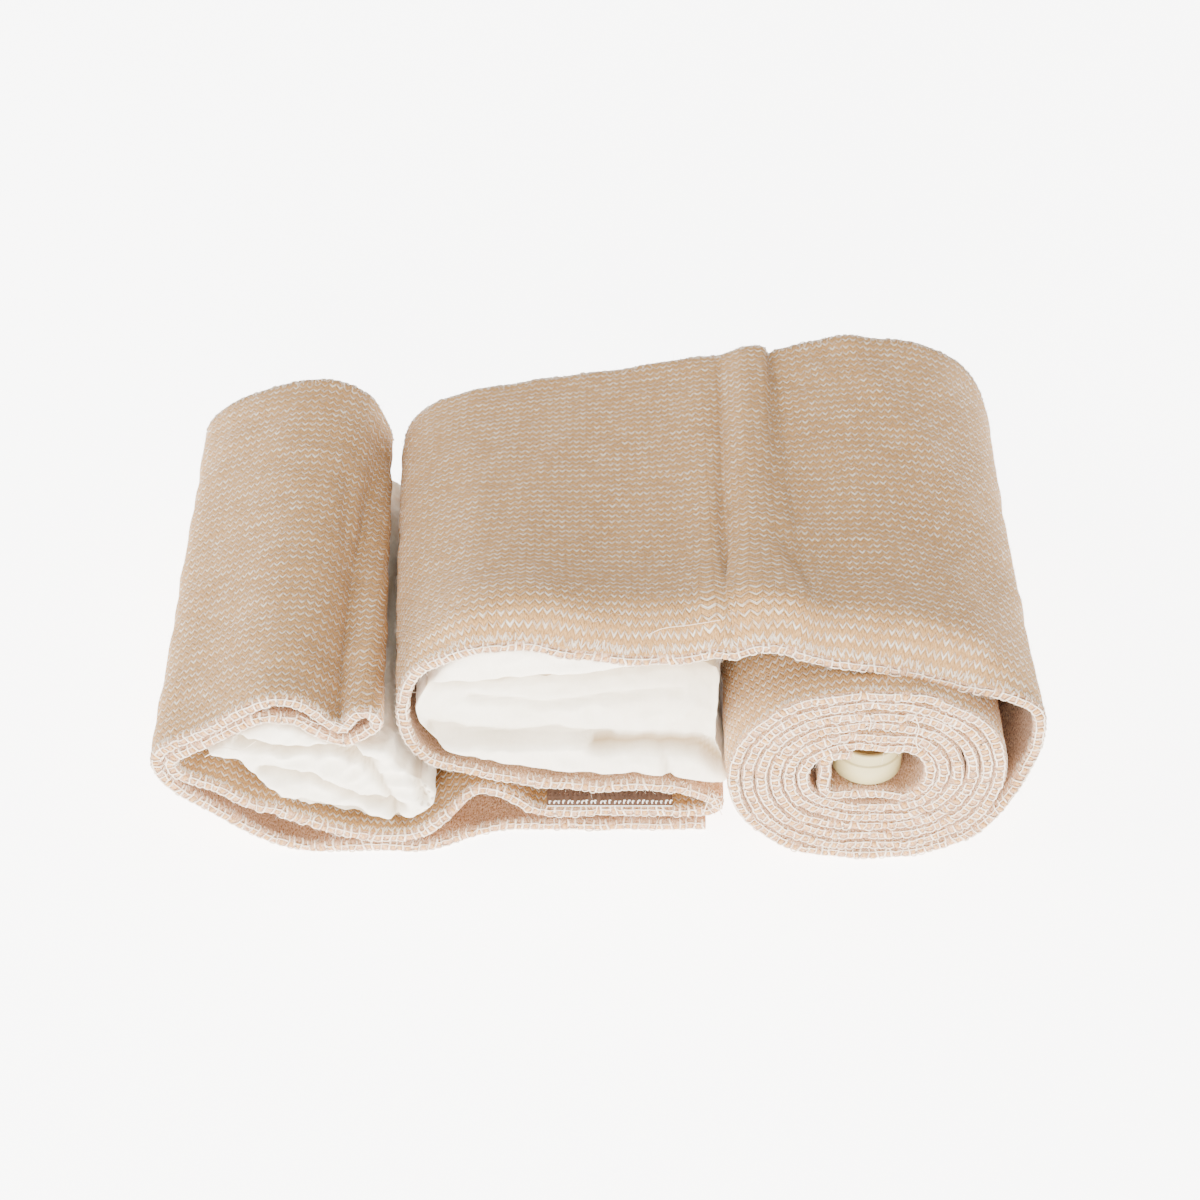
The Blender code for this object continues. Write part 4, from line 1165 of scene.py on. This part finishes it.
def crumpled(piece, folds, ripple, pressed, recess, plane):
    """Pad with folds and ripples in its skin, lines pressed into its front and a recess between two; its
    shade attribute holds painted shade along the pressed lines and under the upper leaf.
    """
    mesh = piece.data
    places = np.empty(len(mesh.vertices) * 3, dtype=np.float32)
    facing = np.empty(len(mesh.vertices) * 3, dtype=np.float32)
    mesh.vertices.foreach_get("co", places)
    mesh.vertices.foreach_get("normal", facing)
    places, facing = places.reshape(-1, 3).astype(float), facing.reshape(-1, 3)
    wide, narrow, tiny = FOLD_SIZES
    broad = np.array([noise.noise(Vector(p) / wide) for p in places])
    fold = np.array([noise.noise(Vector((p[0] + 0.4, p[1] * 0.35, p[2])) / narrow) for p in places])
    fine = np.array([noise.noise(Vector((p[0], p[1] + 0.7, p[2])) / tiny) for p in places])
    front = np.clip(-facing[:, 1:2] * 1.3 - 0.2, 0, 1)
    # painted shade, kept per point in the shade attribute and read by the wadding's colour
    shade = np.zeros(len(places))
    crest = 1 - 2 * np.abs(fold)
    lift = folds * (crest * 0.5 - 0.5) + ripple * fine
    places += facing * lift[:, None]
    places[:, 1:2] -= front * (BULGE * broad + PUFF + folds * 0.6 * crest)[:, None]
    for width, depth, pixels in pressed:
        line = np.array([seen_on(u, v, plane)[[0, 2]] for u, v in pixels])
        near = np.exp(-(off_line(places[:, [0, 2]], line) / width) ** 2)
        places[:, 1:2] += front * depth * near[:, None]
        # painted shade along each pressed line, stronger for deeper lines
        shade = np.maximum(shade, near * min(1.0, depth / 0.0026))
    if recess:
        upper, lower = (np.array([seen_on(u, v, plane) for u, v in pressed[k][2]]) for k in (0, 1))
        under = rising(np.interp(places[:, 0], upper[:, 0], upper[:, 2]) - places[:, 2], 0.0, 0.0014)
        over = rising(places[:, 2] - np.interp(places[:, 0], lower[:, 0], lower[:, 2]), 0.0, 0.0016)
        places[:, 1] += front[:, 0] * recess * under * over
        # painted shadow of the upper leaf on the body below it, fading downwards and stronger towards the
        # pad's right end
        below = np.interp(places[:, 0], upper[:, 0], upper[:, 2]) - places[:, 2]
        east = rising(places[:, 0], upper[0, 0], upper[-1, 0])
        shade = np.maximum(shade, 0.90 * np.exp(-np.maximum(below, 0) / SHADE_DROP) * east * (below > 0))
    layer = mesh.attributes.new("shade", "FLOAT", "POINT")
    layer.data.foreach_set("value", np.clip(shade, 0, 1).astype(np.float32))
    mesh.vertices.foreach_set("co", places.astype(np.float32).ravel())
    mesh.polygons.foreach_set("use_smooth", np.full(len(mesh.polygons), True))
    mesh.update()


def pads():
    """Both pads."""
    for (name, node, voxel, folds, ripple, recess, holes), pressed in zip(PADS, PRESSED):
        piece = pad_piece(name, node, voxel)
        crumpled(piece, folds, ripple, pressed, recess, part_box(node)[0][1])
        piece.data.materials.append(wadding(node, holes))
        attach(piece, "root")
        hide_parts(node)


def hook_piece(materials):
    """Tape with bent hooks in rows across the strip; the front row and edge are white, while the tape and
    the hooks behind the front row take the second material, painted near black as shade under the cloth
    above.
    """
    low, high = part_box("hook_tape")
    floor, face = low[2], low[2] + TAPE_FACE
    parts = []
    x0, x1, y0, y1 = low[0], high[0], low[1], high[1]
    xs = np.linspace(x0, x1, TAPE_STEPS + 1)
    verts = np.array([(x, y, z) for z in (floor, face) for y in (y0, y1) for x in xs])
    n = TAPE_STEPS + 1
    quads = []
    for k in range(TAPE_STEPS):
        quads += [(k, k + n, k + 1 + n, k + 1), (2 * n + k, 2 * n + k + 1, 3 * n + k + 1, 3 * n + k),
                  (k, k + 1, 2 * n + k + 1, 2 * n + k), (n + k, 3 * n + k, 3 * n + k + 1, n + k + 1)]
    quads += [(0, 2 * n, 3 * n, n), (n - 1, 2 * n - 1, 4 * n - 1, 3 * n - 1)]
    # the tape itself takes slot 1, painted near black as shade
    parts.append((verts, np.array(quads), 1))
    edge = np.array([[(x, y0 - 0.0001, (floor + face) / 2) for x in np.linspace(x0, x1, 40)]])
    verts, quads = tubes(edge, TAPE_EDGE_R)
    parts.append((verts, quads, 0))
    source = np.random.default_rng(5)
    gx, gy = np.meshgrid(x0 + (np.arange(HOOKS) + 0.5) * (x1 - x0) / HOOKS,
                         y0 + (np.arange(HOOK_ROWS) + 0.2) * (y1 - y0) / HOOK_ROWS, indexing="ij")
    root = np.stack([gx.ravel(), gy.ravel(), np.full(gx.size, face)], axis=1)
    root[:, 0] += source.uniform(-0.00008, 0.00008, len(root))
    lean = source.uniform(-0.00022, 0.00022, (len(root), 1))
    tall = HOOK_TALL * source.uniform(0.8, 1.15, (len(root), 1))
    line = np.stack([root + np.concatenate([lean * t + bend * HOOK_BEND, np.zeros_like(lean), tall * t],
                                           axis=1) for t, bend in HOOK], axis=1)
    first = gy.ravel() < y0 + (y1 - y0) / HOOK_ROWS
    # hooks behind the front row take slot 1, painted near black as shade
    for shown, slot in ((first, 0), (~first, 1)):
        verts, quads = tubes(line[shown], HOOK_R)
        parts.append((verts, quads, slot))
    verts, quads, slots = joined(parts)
    piece = mesh_piece("tape_hooks", verts, quads, materials, slots=slots)
    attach(piece, "root")
    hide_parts("hook_tape")


def bar_piece(material):
    """Closure bar: rounded ends, a step round the wall, a rim and a dished top."""
    low, high = (list(corner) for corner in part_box("closure_bar"))
    low[1] -= BAR_AHEAD
    cx, cy, cz = ((low[k] + high[k]) / 2 for k in range(3))
    half, straight = (high[0] - low[0]) / 2, (high[1] - low[1]) / 2 - (high[0] - low[0]) / 2
    top = (high[2] - low[2]) / 2
    count = BAR_POINTS
    verts, quads = [], []
    for inward, height in BAR_LAYERS:
        for k in range(count):
            a = 2 * math.pi * (k + 0.5) / count
            r = half - inward * 0.001
            verts.append((cx + r * math.cos(a), cy + math.copysign(straight, math.sin(a)) + r * math.sin(a),
                          cz + height * top))
    for r in range(len(BAR_LAYERS) - 1):
        for k in range(count):
            a, b = r * count + k, r * count + (k + 1) % count
            quads.append((a, b, b + count, a + count))
    for first, flip in ((0, True), ((len(BAR_LAYERS) - 1) * count, False)):
        for k in range(count // 2 - 1):
            face = (first + k, first + k + 1, first + (2 * count - k - 2) % count,
                    first + (2 * count - k - 1) % count)
            quads.append(face[::-1] if flip else face)
    piece = mesh_piece("bar_moulding", verts, quads, [material])
    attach(piece, "root")
    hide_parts("closure_bar")


studio()
BANDAGE = strip_piece()
YARNS = [bead_yarn(), white_yarn()]
FRONT = selvedge("front_selvedge", 0, YARNS)
BACK = selvedge("back_selvedge", COLUMNS - 1, YARNS)
FUZZ = fuzz([fibre_stuff("pale_fibre", (0.72, 0.60, 0.48), (0.92, 0.86, 0.78))])
STITCHES = edge_stitches([YARNS[1]])
THREADS = loose_threads([YARNS[1]])
pads()
# second tape material: the same plastic painted near black as shade for the tape and hooks under the cloth
hook_piece([tape_plastic("tape_hooks_front", (0.82, 0.79, 0.74), (0.96, 0.95, 0.92)),
            tape_plastic("tape_painted_shade", (0.07, 0.032, 0.016), (0.15, 0.075, 0.04))])
bar_piece(bar_plastic())
